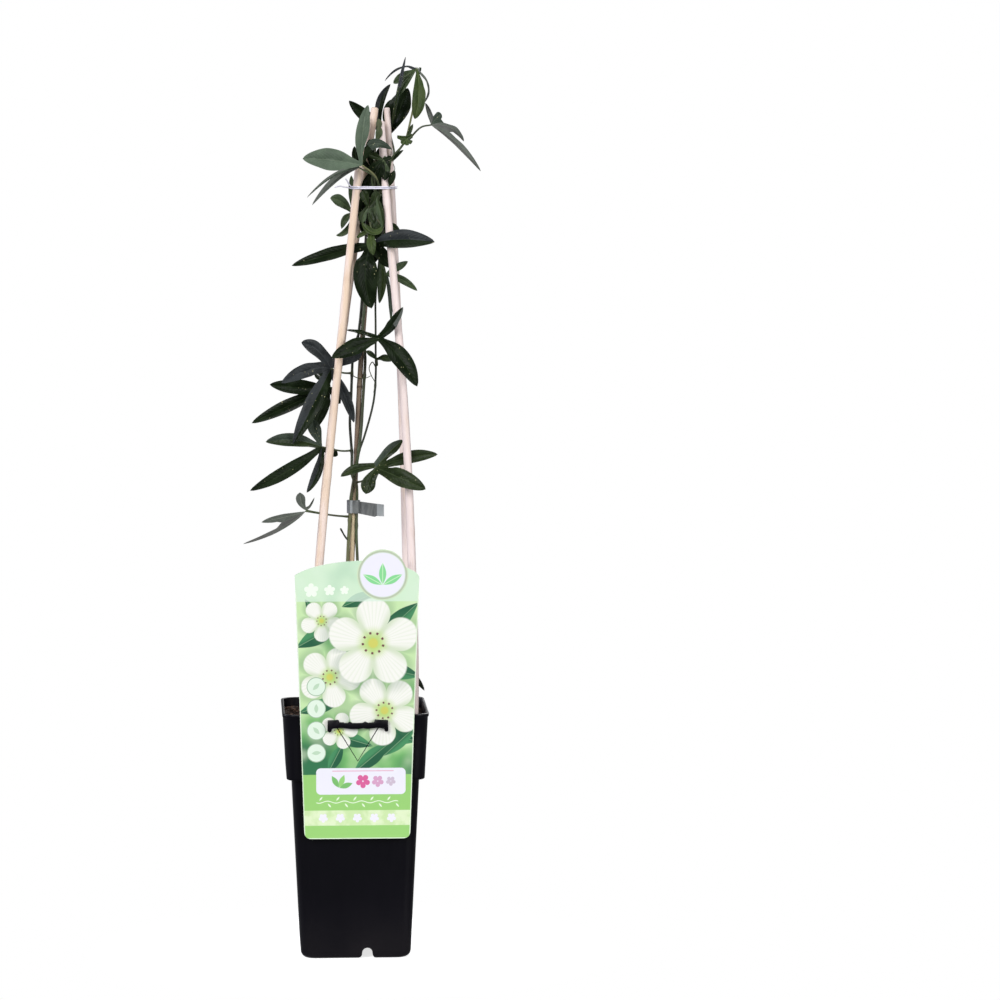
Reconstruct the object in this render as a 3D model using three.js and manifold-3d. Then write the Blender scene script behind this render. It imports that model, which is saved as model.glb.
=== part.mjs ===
// A potted passion flower vine, 795 mm tall, in millimetres: +Z up, front towards -Y.
// The origin is the centre of the pot's underside.
import * as THREE from "three";
import { mergeVertices } from "three/addons/utils/BufferGeometryUtils.js";
import Module from "manifold-3d";

const wasm = await Module();
wasm.setup();

// ---- driving dimensions ----
const FIT = 0.35; // gap left between touching pieces
const STEM_GAP = 0.6; // gap between the cane and the stems that wind round it

const POT_HEIGHT = 220;
const POT_RIM_HALF = 64; // half width of the collar at the rim
const POT_COLLAR_HALF = 61; // half width at the collar's lower edge
const POT_STEP_HALF = 56.3; // half width of the body under the collar
const POT_BASE_HALF = 48.5;
const POT_COLLAR_BOTTOM = 162;
const POT_WALL = 1.8;
const POT_LIP = 0.7; // how far the rim bead stands out
const POT_LIP_HEIGHT = 3;
const POT_CORNER = 12; // corner radius at the rim
const POT_FLOOR = 2.6;
const POT_BASE_ROUND = 7; // rounding between base and walls
const POT_EDGE = 1; // softening of the collar's lower edge
const POT_LEDGE = 2; // height over which the inside widens into the collar
const GROOVE_X = 10; // drainage groove, front to back under the pot
const GROOVE_HALF = 4.6;
const GROOVE_HEIGHT = 10;
const GROOVE_FLARE = 5; // rounding of the groove's foot to each side
const DRAIN_RADIUS = 4;
const DRAIN_SPACING = 27;

const SOIL_TOP = 211;
const SOIL_RELIEF = 2.2; // height of the lumps
const SOIL_CELLS = 12;

const STICK_FOOT_Z = 110; // how deep the sticks reach into the soil
const STICK_FOOT_RADIUS = 3.8;
const STICK_TOP_RADIUS = 3.3;
const CANE_RADIUS = 2.3;
const CANE_FOOT = new THREE.Vector3(-15.5, 0, 105);
const CANE_TOP = new THREE.Vector3(14.4, 0, 630);
const MAIN_RADIUS = 1.75;
const SECOND_RADIUS = 1.4;
const BRANCH_RADIUS = 0.95;
const SHOOT_RADIUS = 1.1;
const PETIOLE_RADIUS = 0.95;
const TENDRIL_RADIUS = 0.5;
const BLADE_THICK = 0.7;
const BLADE_FOLD = 0.16; // rise of a lobe's edges over its midrib, per half width
const WEB_RADIUS = 7; // reach of the web that joins the lobes
const WEB_SHARE = 0.32; // most of a lobe's length that the web may take
const WEB_STATIONS = [0.5, 1]; // where the width is set inside the web
const LOBE_STATIONS = [0.3, 0.55, 0.78, 0.93]; // and past it, up to the tip
const DEPTH_CLEAR = 3; // depth between two lobes past which their outlines may overlap
const ROOM_SHARE = 0.44; // how much of the way to the next lobe's midrib a blade's edge may take

const CARD_THICK = 0.6;
const CARD_FRONT = -67; // y of the card's middle plane at rim height
const CARD_LEAN = Math.atan((POT_RIM_HALF - POT_COLLAR_HALF) / (POT_HEIGHT - POT_COLLAR_BOTTOM));
const CARD_CENTRE_X = 1;
const CARD_TOP = 125.5; // heights along the card are measured from the rim
const CARD_BOTTOM = -110.5;
const CARD_TOP_HALF = 54.5;
const CARD_BOTTOM_HALF = 46.5;
const CARD_CORNER = 7;
const CARD_SHOULDER = 6; // how far the top corners are rounded down the sides
const DISC_X = 27;
const DISC_V = 121.4;
const DISC_RADIUS = 21.6;
const DISC_START = 0.364; // where the card's top edge meets the disc, in radians
const DISC_END = 2.51;
const FLAP_TOP = -6.5; // the V cut that hangs the card on the pot
const FLAP_DEPTH = 34;
const FLAP_X = 0.5;
const KERF = 1.1; // width of the V cut
const SLOT_CLEAR = 0.75; // room round each peg in the card
const BAR_DEPTH = 2.4;
const BAR_DROP = 1; // depth of the bar's and of the pegs' middle below the V cut's top
const PEG_DROP = 2;
const PEG_HALF = 2.6;
const PEG_HEIGHT = 3.2;
const PEG_X = 15.5; // distance of each peg from the middle of the hook

const TIE_Z = 679; // where the sticks are tied together
const TIE_WIRE = 1.2;
const TIE_SLACK = 0.25;
const TAPE_SLACK = 0.65; // the stems lean within the tape's height
const TAPE_Z = 389;
const TAPE_HEIGHT = 14;
const TAPE_THICK = 0.8;
const TAPE_FLAG = 21;

// ---- materials ----
const plain = (color, roughness) => new THREE.MeshStandardMaterial({ color, roughness, metalness: 0 });
const blackPlastic = plain(0x17161a, 0.42);
const compost = plain(0x3a241a, 0.95);
const paleWood = plain(0xe6d2bb, 0.62);
const bamboo = plain(0xb09a68, 0.6);
const greenStem = plain(0x4c6234, 0.55);
const darkLeaf = plain(0x24401f, 0.42);
const paleWire = plain(0xe6e4ef, 0.4);
const greyTape = plain(0x70777c, 0.45);
const printedCard = plain(0xb5dba0, 0.35);

// ---- geometry helpers ----
const vec = (p) => (p instanceof THREE.Vector3 ? p.clone() : new THREE.Vector3(...p));

function toSolid(geometry) {
  const bare = geometry.clone();
  for (const name of Object.keys(bare.attributes)) {
    if (name !== "position") bare.deleteAttribute(name);
  }
  const merged = mergeVertices(bare, 1e-4);
  const vertProperties = new Float32Array(merged.attributes.position.array);
  const triVerts = new Uint32Array(merged.index.array);
  return new wasm.Manifold(new wasm.Mesh({ numProp: 3, vertProperties, triVerts }));
}

function fromSolid(solid) {
  const mesh = solid.getMesh();
  const geometry = new THREE.BufferGeometry();
  geometry.setAttribute("position", new THREE.BufferAttribute(new Float32Array(mesh.vertProperties), 3));
  geometry.setIndex(new THREE.BufferAttribute(new Uint32Array(mesh.triVerts), 1));
  geometry.computeVertexNormals();
  return geometry;
}

const joined = (geometries) => geometries.map(toSolid).reduce((whole, solid) => whole.add(solid));

function largestPiece(solid) {
  const pieces = solid.decompose();
  return pieces.reduce((best, piece) => (piece.volume() > best.volume() ? piece : best));
}

function geometryOf(points, triangles) {
  const geometry = new THREE.BufferGeometry();
  const numbers = points.flatMap((p) => [p.x, p.y, p.z]);
  geometry.setAttribute("position", new THREE.Float32BufferAttribute(numbers, 3));
  geometry.setIndex(triangles.flat());
  return geometry;
}

// Closed skin over a stack of rings that all have the same number of points, listed anticlockwise from above.
function loft(rings) {
  const count = rings[0].length;
  const points = rings.flat();
  const triangles = [];
  for (let level = 0; level < rings.length - 1; level++) {
    for (let i = 0; i < count; i++) {
      const a = level * count + i;
      const b = level * count + ((i + 1) % count);
      triangles.push([a, b, b + count], [a, b + count, a + count]);
    }
  }
  const centreOf = (ring) => ring.reduce((sum, p) => sum.add(p), new THREE.Vector3()).divideScalar(count);
  const foot = points.push(centreOf(rings[0])) - 1;
  const head = points.push(centreOf(rings[rings.length - 1])) - 1;
  const top = (rings.length - 1) * count;
  for (let i = 0; i < count; i++) {
    const next = (i + 1) % count;
    triangles.push([foot, next, i], [head, top + i, top + next]);
  }
  return geometryOf(points, triangles);
}

// A tube along a smooth path, its radius running from one end's to the other's, grown all round if asked.
function rod(path, { foot, head = foot, sides = 6, step = 14, grow = 0 }) {
  const curve = new THREE.CatmullRomCurve3(path.map(vec), false, "centripetal");
  const spans = Math.max(2, Math.round(curve.getLength() / step));
  const rings = [];
  const side = new THREE.Vector3();
  for (let k = 0; k <= spans; k++) {
    const u = k / spans;
    const centre = curve.getPointAt(u);
    const tangent = curve.getTangentAt(u);
    if (k === 0) side.set(1, 0, 0).addScaledVector(tangent, -tangent.x);
    if (side.lengthSq() < 0.01) side.set(0, 1, 0);
    side.addScaledVector(tangent, -side.dot(tangent)).normalize();
    const other = new THREE.Vector3().crossVectors(tangent, side);
    if (k === 0) centre.addScaledVector(tangent, -grow);
    if (k === spans) centre.addScaledVector(tangent, grow);
    const radius = THREE.MathUtils.lerp(foot, head, u) + grow;
    const ring = [];
    for (let i = 0; i < sides; i++) {
      const turn = (i / sides) * 2 * Math.PI;
      const point = centre.clone().addScaledVector(side, radius * Math.cos(turn));
      ring.push(point.addScaledVector(other, radius * Math.sin(turn)));
    }
    rings.push(ring);
  }
  return loft(rings);
}

// Square ring with rounded corners, anticlockwise from above.
function squareRing(half, corner, z, steps = 5) {
  const ring = [];
  for (let quarter = 0; quarter < 4; quarter++) {
    for (let k = 0; k <= steps; k++) {
      const turn = (quarter + k / steps) * (Math.PI / 2);
      const reach = half - corner;
      const x = reach * Math.SQRT2 * Math.cos((quarter + 0.5) * (Math.PI / 2)) + corner * Math.cos(turn);
      const y = reach * Math.SQRT2 * Math.sin((quarter + 0.5) * (Math.PI / 2)) + corner * Math.sin(turn);
      ring.push(new THREE.Vector3(x, y, z));
    }
  }
  return ring;
}

const placed = (geometry, x, y, z) => geometry.translate(x, y, z);

// Half width of the pot's outside at a height; the inside is one wall less.
function potHalf(z) {
  if (z < POT_COLLAR_BOTTOM) {
    return THREE.MathUtils.lerp(POT_BASE_HALF, POT_STEP_HALF, z / POT_COLLAR_BOTTOM);
  }
  const rise = (z - POT_COLLAR_BOTTOM) / (POT_HEIGHT - POT_COLLAR_BOTTOM);
  return THREE.MathUtils.lerp(POT_COLLAR_HALF, POT_RIM_HALF, rise);
}

// Arch-shaped bar from front to back under the pot, with a flared foot.
function archBar(half, height, length) {
  const shape = new THREE.Shape();
  const flare = half + GROOVE_FLARE;
  const foot = -POT_FLOOR;
  shape.moveTo(-flare, foot);
  shape.lineTo(flare, foot);
  shape.lineTo(flare, 0);
  shape.quadraticCurveTo(half, 0, half, height - half);
  shape.absarc(0, height - half, half, 0, Math.PI, false);
  shape.quadraticCurveTo(-half, 0, -flare, 0);
  shape.closePath();
  const bar = new THREE.ExtrudeGeometry(shape, { depth: length, bevelEnabled: false, curveSegments: 8 });
  bar.rotateX(Math.PI / 2);
  return placed(bar, GROOVE_X, length / 2, 0);
}

// ---- pot: tapered square body, collar, rim bead, drainage groove and the label hook ----
function potSolid() {
  const base = POT_BASE_ROUND;
  const cornerAt = (half) => POT_CORNER * (half / POT_RIM_HALF);
  const ring = (half, z) => squareRing(half, cornerAt(half), z);
  const lipFoot = POT_HEIGHT - POT_LIP_HEIGHT;
  const outer = toSolid(loft([
    ring(potHalf(0) - 0.85 * base, 0),
    ring(potHalf(0) - 0.38 * base, 0.12 * base),
    ring(potHalf(0) - 0.1 * base, 0.42 * base),
    ring(potHalf(base), base),
    ring(POT_STEP_HALF, POT_COLLAR_BOTTOM - POT_EDGE),
    ring(POT_COLLAR_HALF - POT_EDGE, POT_COLLAR_BOTTOM - POT_EDGE),
    ring(POT_COLLAR_HALF, POT_COLLAR_BOTTOM + POT_EDGE),
    ring(potHalf(lipFoot), lipFoot),
    ring(potHalf(lipFoot) + POT_LIP, lipFoot + POT_LIP),
    ring(POT_RIM_HALF + POT_LIP, POT_HEIGHT - POT_LIP),
    ring(POT_RIM_HALF, POT_HEIGHT),
  ]));
  const inner = toSolid(loft([
    ring(potHalf(POT_FLOOR) - base, POT_FLOOR),
    ring(potHalf(base + POT_FLOOR) - POT_WALL, base + POT_FLOOR),
    ring(POT_STEP_HALF - POT_WALL, POT_COLLAR_BOTTOM + POT_EDGE),
    ring(POT_COLLAR_HALF - POT_WALL, POT_COLLAR_BOTTOM + POT_EDGE + POT_LEDGE),
    ring(POT_RIM_HALF - POT_WALL, POT_HEIGHT),
    ring(POT_RIM_HALF - POT_WALL, POT_HEIGHT + 1),
  ]));
  const ridge = toSolid(archBar(GROOVE_HALF + POT_WALL, GROOVE_HEIGHT + POT_WALL, 2 * POT_STEP_HALF));
  const groove = toSolid(archBar(GROOVE_HALF, GROOVE_HEIGHT, 3 * POT_STEP_HALF));
  let pot = outer.subtract(inner).add(ridge.intersect(outer)).subtract(groove);
  for (const x of [-DRAIN_SPACING, DRAIN_SPACING]) {
    for (const y of [-DRAIN_SPACING, DRAIN_SPACING]) {
      const drill = new THREE.CylinderGeometry(DRAIN_RADIUS, DRAIN_RADIUS, 3 * POT_FLOOR, 12);
      drill.rotateX(Math.PI / 2);
      pot = pot.subtract(toSolid(placed(drill, x, y, POT_FLOOR)));
    }
  }
  return pot.add(hookSolid());
}

// Two pegs through the card and a wavy bar across its front, with hooked ends.
function hookSolid() {
  const outline = [
    [-26.5, 3.4], [-17, 3.8], [-16, 1.2], [-9, 0.9], [-7, 2.2], [-5, 0.9], [4, 0.9], [6.5, 2.2],
    [9, 1], [14, 1.4], [15, 3.8], [26.5, 3.4], [26.8, -6.2], [25.4, -7], [23.4, -6.4], [23, -4],
    [17, -3.4], [9, -4.4], [5, -3.8], [0, -4.4], [-6, -4.4], [-12, -3.6], [-17, -3.4], [-22.6, -4],
    [-23.4, -6.6], [-25, -7.4], [-26.8, -6.4],
  ];
  const shape = new THREE.Shape(outline.map(([x, z]) => new THREE.Vector2(x, z)));
  const bar = new THREE.ExtrudeGeometry(shape, { depth: BAR_DEPTH, bevelEnabled: false });
  bar.rotateX(Math.PI / 2);
  const flapTop = POT_HEIGHT + FLAP_TOP;
  const barBack = CARD_FRONT - CARD_THICK - 1.3 * FIT;
  const pegBack = -POT_RIM_HALF + POT_WALL / 2;
  const pegFront = barBack - BAR_DEPTH / 2;
  let hook = toSolid(placed(bar, CARD_CENTRE_X + FLAP_X, barBack, flapTop - BAR_DROP));
  for (const side of [-1, 1]) {
    const peg = new THREE.BoxGeometry(2 * PEG_HALF, pegBack - pegFront, PEG_HEIGHT);
    const x = CARD_CENTRE_X + FLAP_X + side * PEG_X;
    hook = hook.add(toSolid(placed(peg, x, (pegBack + pegFront) / 2, flapTop - PEG_DROP)));
  }
  return hook;
}

// ---- stems and sticks: their routes ----
const STICKS = {
  stick_front_left: [
    [-43, -44, STICK_FOOT_Z], [-41, -47, 225], [-31, -39, 353],
    [-17, -27, 494], [3, -10, TIE_Z], [10, -6, 744],
  ],
  stick_front_right: [
    [44, -42, STICK_FOOT_Z], [52, -46, 224], [50, -38, 362],
    [44, -28, 494], [29, -10, TIE_Z], [23, -6, 747],
  ],
  stick_back_right: [
    [44, 42, STICK_FOOT_Z], [51, 47, 218], [48, 39, 355],
    [44, 29, 490], [35, 10, TIE_Z], [30, 5, 751],
  ],
  stick_back_left: [
    [-41, 44, STICK_FOOT_Z], [-38, 47, 218], [-30, 39, 346],
    [-16, 29, 491], [9, 10, TIE_Z], [20, 5, 751],
  ],
};

function caneAt(z) {
  const share = (z - CANE_FOOT.z) / (CANE_TOP.z - CANE_FOOT.z);
  return new THREE.Vector3().lerpVectors(CANE_FOOT, CANE_TOP, share);
}

// Point on a stem that lies against the cane: 0 degrees is to its right, 270 in front.
function beside(z, degrees, radius) {
  const reach = CANE_RADIUS + radius + STEM_GAP;
  const turn = THREE.MathUtils.degToRad(degrees);
  return caneAt(z).add(new THREE.Vector3(reach * Math.cos(turn), reach * Math.sin(turn), 0));
}

// Winds from one angle to the next, in steps short enough to stay clear of the cane.
function winding(stops, radius) {
  const route = [];
  for (let i = 0; i < stops.length - 1; i++) {
    const [z0, a0] = stops[i];
    const [z1, a1] = stops[i + 1];
    const steps = Math.max(1, Math.ceil(Math.abs(a1 - a0) / 15), Math.ceil((z1 - z0) / 30));
    for (let k = 0; k < steps; k++) {
      const share = k / steps;
      route.push(beside(z0 + (z1 - z0) * share, a0 + (a1 - a0) * share, radius));
    }
  }
  const [z, a] = stops[stops.length - 1];
  route.push(beside(z, a, radius));
  return route;
}

const MAIN_WIND = [
  [120, 215], [360, 215], [405, 225], [430, 265], [450, 305], [470, 340], [505, 360],
  [530, 370], [560, 410], [580, 430], [625, 415], [650, 390], [664, 372],
];
const SECOND_WIND_LOW = [[120, -25], [370, -25], [403, -42], [410, -8], [422, 68], [433, 130], [442, 158]];
const SECOND_WIND_HIGH = [[562, 180], [600, 182], [640, 200], [664, 205]];
const MAIN_ROUTE = [...winding(MAIN_WIND, MAIN_RADIUS), [26, 0, 683], [31, 0, 696], [34, 0, 706]];
const SHOOT_ROUTE = [[31, 0, 697], [34, 0, 706], [39, 0, 712], [43, 0, 717], [48, 0, 724]];
const SECOND_ROUTE = [
  ...winding(SECOND_WIND_LOW, SECOND_RADIUS), [-2, 3, 456], [-3, 1, 473], [-2, 0, 492],
  [-1, 0, 518], [1, 0, 535], [4, 0, 549], ...winding(SECOND_WIND_HIGH, SECOND_RADIUS),
];
const CANE_ROUTE = [CANE_FOOT, caneAt(368), CANE_TOP];
const BRANCH_ROUTE = [
  [5, -4, 448], [10, -4, 462], [18, -2, 492], [20, -1, 515], [20, -1, 537], [20, -1, 560], [20, -1, 582],
  [22, -1, 606], [25, -1, 630], [27, -1, 645],
];

// Thin tendrils and a cut petiole stub, each rooted on a stem.
const TENDRIL_ROUTES = [
  [[33, 0, 704], [39, -1, 708], [44, -2, 713]],
  [[20, -1, 522], [17, -4, 527], [14, -7, 522], [16, -9, 515], [19, -7, 509], [18, -5, 500]],
  [[-4, -2, 366], [-8, -3, 370], [-12, -4, 377]],
];

// The two small bracts at the foot of the top shoot's leaves.
const BRACTS = {
  hub: [45, 0, 720], face: [0.2, -1, 0.2], web: 2,
  lobes: [
    { via: [42, -3, 722], tip: [39, -4, 721], width: 5 },
    { via: [43, -2, 716], tip: [43, -3, 713], width: 5 },
  ],
};

// ---- leaves ----
// Each has a petiole from its base over a bend to the hub, and lobes listed anticlockwise round the hub,
// as seen from the side it faces. "more" lists further leaves of the same young shoot, from the same base.
const LEAVES = [
  {
    name: "leaf_top_front",
    base: [25, 0, 677], bend: [19, -18, 692], hub: [8, -27, 701], face: [0.1, -1, 0.25],
    lobes: [
      { via: [22, -30, 723], tip: [34, -24, 714], width: 13, face: [0, -0.8, 0.6] },
      { via: [7, -31, 729], tip: [13, -31, 754], width: 14 },
      { via: [-18, -34, 705], tip: [-44, -40, 708], width: 21 },
      { via: [-17, -44, 693], tip: [-41, -54, 674], width: 8, face: [0, -0.8, 0.5] },
      { via: [-10, -28, 687], tip: [-37, -34, 666], width: 11, face: [-0.2, -0.8, 0.5] },
    ],
  },
  {
    name: "leaf_top_back",
    base: [37, 0, 710], bend: [39, 9, 717], hub: [34, 16, 728], face: [-0.3, -1, 0.1],
    lobes: [
      { via: [44, 11, 747], tip: [50, 8, 767], width: 18 },
      { via: [40, 21, 762], tip: [48, 18, 795], width: 7, face: [-1, -0.35, 0.2] },
      { via: [32, 29, 744], tip: [35, 33, 759], width: 9 },
      { via: [14, 25, 742], tip: [-2, 22, 756], width: 11 },
    ],
  },
  {
    name: "leaf_shoot_tip",
    base: [48, 1, 725], bend: [51, 1, 753], hub: [57, 1, 784], face: [0, -1, 0.4], web: 4,
    lobes: [
      { via: [57, -9, 764], tip: [54, -10, 743], width: 10.5, face: [0.2, -1, 0] },
      { via: [68, -2, 770], tip: [65, -3, 754], width: 6, face: [1, -0.4, 0] },
      { via: [61, 13, 788], tip: [64, 26, 785], width: 8, face: [0, -0.3, 1] },
      { via: [42, 0, 787], tip: [29, -4, 775], width: 7, face: [-0.3, -0.3, 1] },
      { via: [45, -8, 773], tip: [36, -10, 760], width: 11, face: [-0.2, -1, 0.1] },
    ],
  },
  {
    name: "leaf_shoot_arching",
    base: [49, -2, 723], bend: [59, -5, 734], hub: [69, -3, 736], face: [0.3, -0.8, 0.6], web: 4,
    lobes: [
      { via: [93, -12, 722], tip: [113, -16, 696], width: 12, face: [0.5, -0.6, 0.6] },
      { via: [87, 6, 736], tip: [99, 12, 721], width: 11, face: [0.4, -0.6, 0.6] },
      { via: [76, 10, 743], tip: [79, 20, 746], width: 10, face: [0, -0.7, 0.7] },
      { via: [69, 1, 746], tip: [65, 3, 754], width: 6, face: [-0.8, -0.6, 0] },
    ],
  },
  {
    name: "leaf_upper_cross",
    base: [11, -2, 641], bend: [13, -9, 640], hub: [16, -15, 632], face: [0, -1, 0.25],
    lobes: [
      { via: [-17, 3, 623], tip: [-54, 12, 612], width: 12, face: [-0.1, -0.9, 0.4] },
      { via: [11, -20, 604], tip: [16, -18, 575], width: 20, face: [0, -1, 0] },
      { via: [26, -7, 620], tip: [35, -3, 611], width: 11 },
      { via: [44, -29, 635], tip: [71, -36, 634], width: 16, face: [0.1, -0.9, 0.3] },
    ],
  },
  {
    name: "leaf_upper_small_right",
    base: [24, 0, 615], bend: [27, -1, 609], hub: [29, -2, 605], face: [0, -1, 0.2], web: 4,
    lobes: [
      { via: [26, -6, 593], tip: [23, -7, 579], width: 9 },
      { via: [33, -5, 585], tip: [34, -6, 565], width: 7, face: [-0.6, -0.8, 0] },
      { via: [43, -2, 600], tip: [57, -4, 590], width: 7 },
      { via: [39, 3, 610], tip: [49, 5, 616], width: 7 },
    ],
  },
  {
    name: "leaf_upper_small_left",
    base: [12, -2, 658], bend: [6, 0, 659], hub: [1, 1, 657], face: [0, -1, 0.3], web: 4,
    lobes: [
      { via: [0, 6, 671], tip: [-1, 11, 687], width: 7 },
      { via: [-9, 0, 669], tip: [-20, 0, 674], width: 11.5 },
      { via: [-5, -2, 650], tip: [-10, -3, 642], width: 7 },
      { via: [-5, 3, 642], tip: [-14, 5, 636], width: 6 },
    ],
  },
  {
    name: "leaf_middle_right",
    base: [13, 2, 541], bend: [18, -12, 544], hub: [22, -24, 549], face: [0, -1, 0.35],
    lobes: [
      { via: [2, -33, 542], tip: [-20, -42, 533], width: 15, face: [-0.1, -1, 0.3] },
      { via: [39, -38, 534], tip: [56, -46, 508], width: 18, face: [0.3, -1, 0.1] },
      { via: [33, -32, 560], tip: [43, -36, 577], width: 12, face: [-0.5, -0.8, 0.2] },
      { via: [8, -18, 553], tip: [-6, -13, 556], width: 8, face: [0, -0.35, 1] },
    ],
  },
  {
    name: "leaf_middle_left",
    base: [-1, -1, 517], bend: [-10, -10, 518], hub: [-20, -16, 522], face: [0, -1, 0.3],
    lobes: [
      { via: [-5, -13, 530], tip: [8, -10, 537], width: 12 },
      { via: [-32, -14, 538], tip: [-46, -10, 545], width: 13 },
      { via: [-40, -24, 521], tip: [-64, -30, 510], width: 13 },
      { via: [-35, -26, 493], tip: [-54, -32, 456], width: 14, face: [-0.2, -1, 0.1] },
      { via: [-8, -10, 501], tip: [0, -8, 473], width: 9, face: [0.5, -0.9, 0] },
    ],
  },
  {
    name: "leaf_middle_back",
    base: [-2, 1, 499], bend: [-11, 5, 501], hub: [-20, 8, 504], face: [0, -1, 0.4],
    lobes: [
      { via: [-27, 24, 512], tip: [-31, 36, 515], width: 11, face: [-0.3, -0.3, 0.9] },
      { via: [-47, 4, 504], tip: [-74, 4, 507], width: 14 },
      { via: [-56, 12, 488], tip: [-90, 14, 472], width: 12 },
      { via: [-28, 0, 485], tip: [-38, -4, 464], width: 12 },
      { via: [-16, 12, 496], tip: [-11, 14, 489], width: 8 },
    ],
  },
  {
    name: "leaf_lower_left",
    base: [-1, 2, 448], bend: [-12, -14, 449], hub: [-28, -22, 453], face: [0, -1, 0.4],
    lobes: [
      { via: [-33, -20, 464], tip: [-34, -17, 475], width: 11 },
      { via: [-52, -25, 459], tip: [-78, -27, 458], width: 13 },
      { via: [-58, -32, 434], tip: [-92, -40, 416], width: 12 },
      { via: [-32, -24, 432], tip: [-42, -28, 413], width: 10 },
      { via: [-21, -19, 449], tip: [-14, -15, 445], width: 9 },
    ],
  },
  {
    name: "leaf_lowest_left",
    base: [-4, -3, 386], bend: [-21, -20, 390], hub: [-43, -26, 396], face: [0, -1, 0.5], web: 5,
    lobes: [
      { via: [-39, -24, 401], tip: [-35, -20, 407], width: 5, face: [0.3, -0.9, 0] },
      { via: [-45, -26, 404], tip: [-46, -23, 411], width: 9 },
      { via: [-61, -31, 393], tip: [-81, -36, 388], width: 9, face: [0, -0.7, 0.7] },
      { via: [-67, -35, 382], tip: [-98, -42, 369], width: 8, face: [-0.2, -0.7, 0.6] },
    ],
  },
  {
    name: "leaf_lower_right",
    base: [2, -4, 420], bend: [9, -16, 423], hub: [19, -28, 435], face: [0, -1, 0.4],
    lobes: [
      { via: [14, -32, 423], tip: [10, -34, 412], width: 14 },
      { via: [40, -45, 429], tip: [62, -54, 418], width: 17, face: [0.2, -1, 0.2] },
      { via: [47, -24, 443], tip: [74, -22, 446], width: 12 },
      { via: [29, -26, 450], tip: [43, -22, 460], width: 10 },
      { via: [3, -27, 434], tip: [-12, -26, 427], width: 9, face: [0, -0.8, 0.5] },
    ],
  },
  {
    name: "leaf_bundle_dark",
    base: [22, 1, 672], bend: [15, -7, 689], hub: [22, -17, 705], face: [0, -1, 0.1], web: 4,
    lobes: [
      { via: [31, -19, 699], tip: [35, -18, 682], width: 9 },
      { via: [22, -14, 742], tip: [34, -12, 772], width: 10 },
      { via: [18, -17, 713], tip: [13, -16, 720], width: 9 },
      { via: [16, -15, 697], tip: [14, -13, 685], width: 11 },
    ],
    more: [
      {
        bend: [16, -10, 684], hub: [28, -18, 699], face: [0, -1, 0.1], web: 4,
        lobes: [
          { via: [32, -19, 692], tip: [33, -17, 684], width: 9 },
          { via: [33, -18, 705], tip: [34, -16, 714], width: 8 },
          { via: [22, -20, 707], tip: [15, -20, 709], width: 11 },
          { via: [28, -19, 691], tip: [27, -18, 681], width: 10 },
        ],
      },
    ],
  },
  {
    name: "leaf_bundle_bright",
    base: [13, -2, 663], bend: [15, -9, 667], hub: [17, -15, 660], face: [0, -1, 0.1], web: 4,
    lobes: [
      { via: [11, -16, 650], tip: [9, -16, 640], width: 10 },
      { via: [15, -23, 639], tip: [17, -24, 622], width: 9 },
      { via: [24, -17, 651], tip: [24, -17, 638], width: 12 },
      { via: [24, -18, 669], tip: [26, -20, 677], width: 11 },
      { via: [15, -12, 670], tip: [12, -9, 678], width: 10 },
    ],
    more: [
      {
        bend: [13, -7, 667], hub: [18, -8, 670], face: [0, -1, 0.2], web: 4,
        lobes: [
          { via: [12, -9, 675], tip: [9, -9, 678], width: 9 },
          { via: [13, -9, 664], tip: [10, -10, 659], width: 9 },
          { via: [20, -9, 663], tip: [21, -11, 655], width: 8 },
          { via: [20, -9, 677], tip: [20, -10, 682], width: 8 },
        ],
      },
    ],
  },
  {
    name: "leaf_bundle_back",
    base: [20, 2, 650], bend: [24, 4, 650], hub: [28, 3, 651], face: [0, -1, 0.2], web: 4,
    lobes: [
      { via: [35, 1, 647], tip: [42, 1, 641], width: 7 },
      { via: [26, 5, 660], tip: [23, 6, 672], width: 11 },
      { via: [19, 14, 656], tip: [12, 22, 663], width: 12 },
    ],
    more: [
      {
        bend: [28, 7, 642], hub: [24, 7, 631], face: [0, -1, 0.2], web: 4,
        lobes: [
          { via: [20, 7, 622], tip: [18, 7, 614], width: 9 },
          { via: [28, 6, 622], tip: [30, 4, 611], width: 12 },
          { via: [29, 8, 633], tip: [34, 9, 631], width: 7 },
        ],
      },
    ],
  },
  {
    name: "leaf_side_small",
    base: [21, -1, 524], bend: [21, -5, 527], hub: [21, -8, 529], face: [0, -1, 0.3], web: 3,
    lobes: [
      { via: [27, -12, 531], tip: [33, -16, 528], width: 8 },
      { via: [16, -9, 534], tip: [11, -10, 537], width: 5 },
    ],
  },
  {
    name: "leaf_base_right",
    base: [-4, -2, 246], bend: [13, 8, 252], hub: [33, 20, 250], face: [0, -0.6, 0.8], web: 5,
    lobes: [
      { via: [28, 10, 239], tip: [22, 4, 227], width: 9 },
      { via: [49, 24, 246], tip: [64, 24, 230], width: 8 },
      { via: [39, 34, 256], tip: [45, 46, 251], width: 9 },
    ],
  },
];

// Bow through a middle point.
function bowedCurve(start, via, tip) {
  const control = vec(via).multiplyScalar(2).addScaledVector(start, -0.5).addScaledVector(vec(tip), -0.5);
  return new THREE.QuadraticBezierCurve3(start, control, vec(tip));
}

// Half width of a lobe along its length, 1 at its widest: narrow at the hub, blunt at the tip.
const lobeProfile = (s) => Math.sin(Math.PI * Math.pow(s, 1.08)) ** 0.66;

function nearestOn(curve, point) {
  const spots = curve.getPoints(24);
  return spots.reduce((best, p) => (p.distanceTo(point) < best.distanceTo(point) ? p : best)).clone();
}

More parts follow.
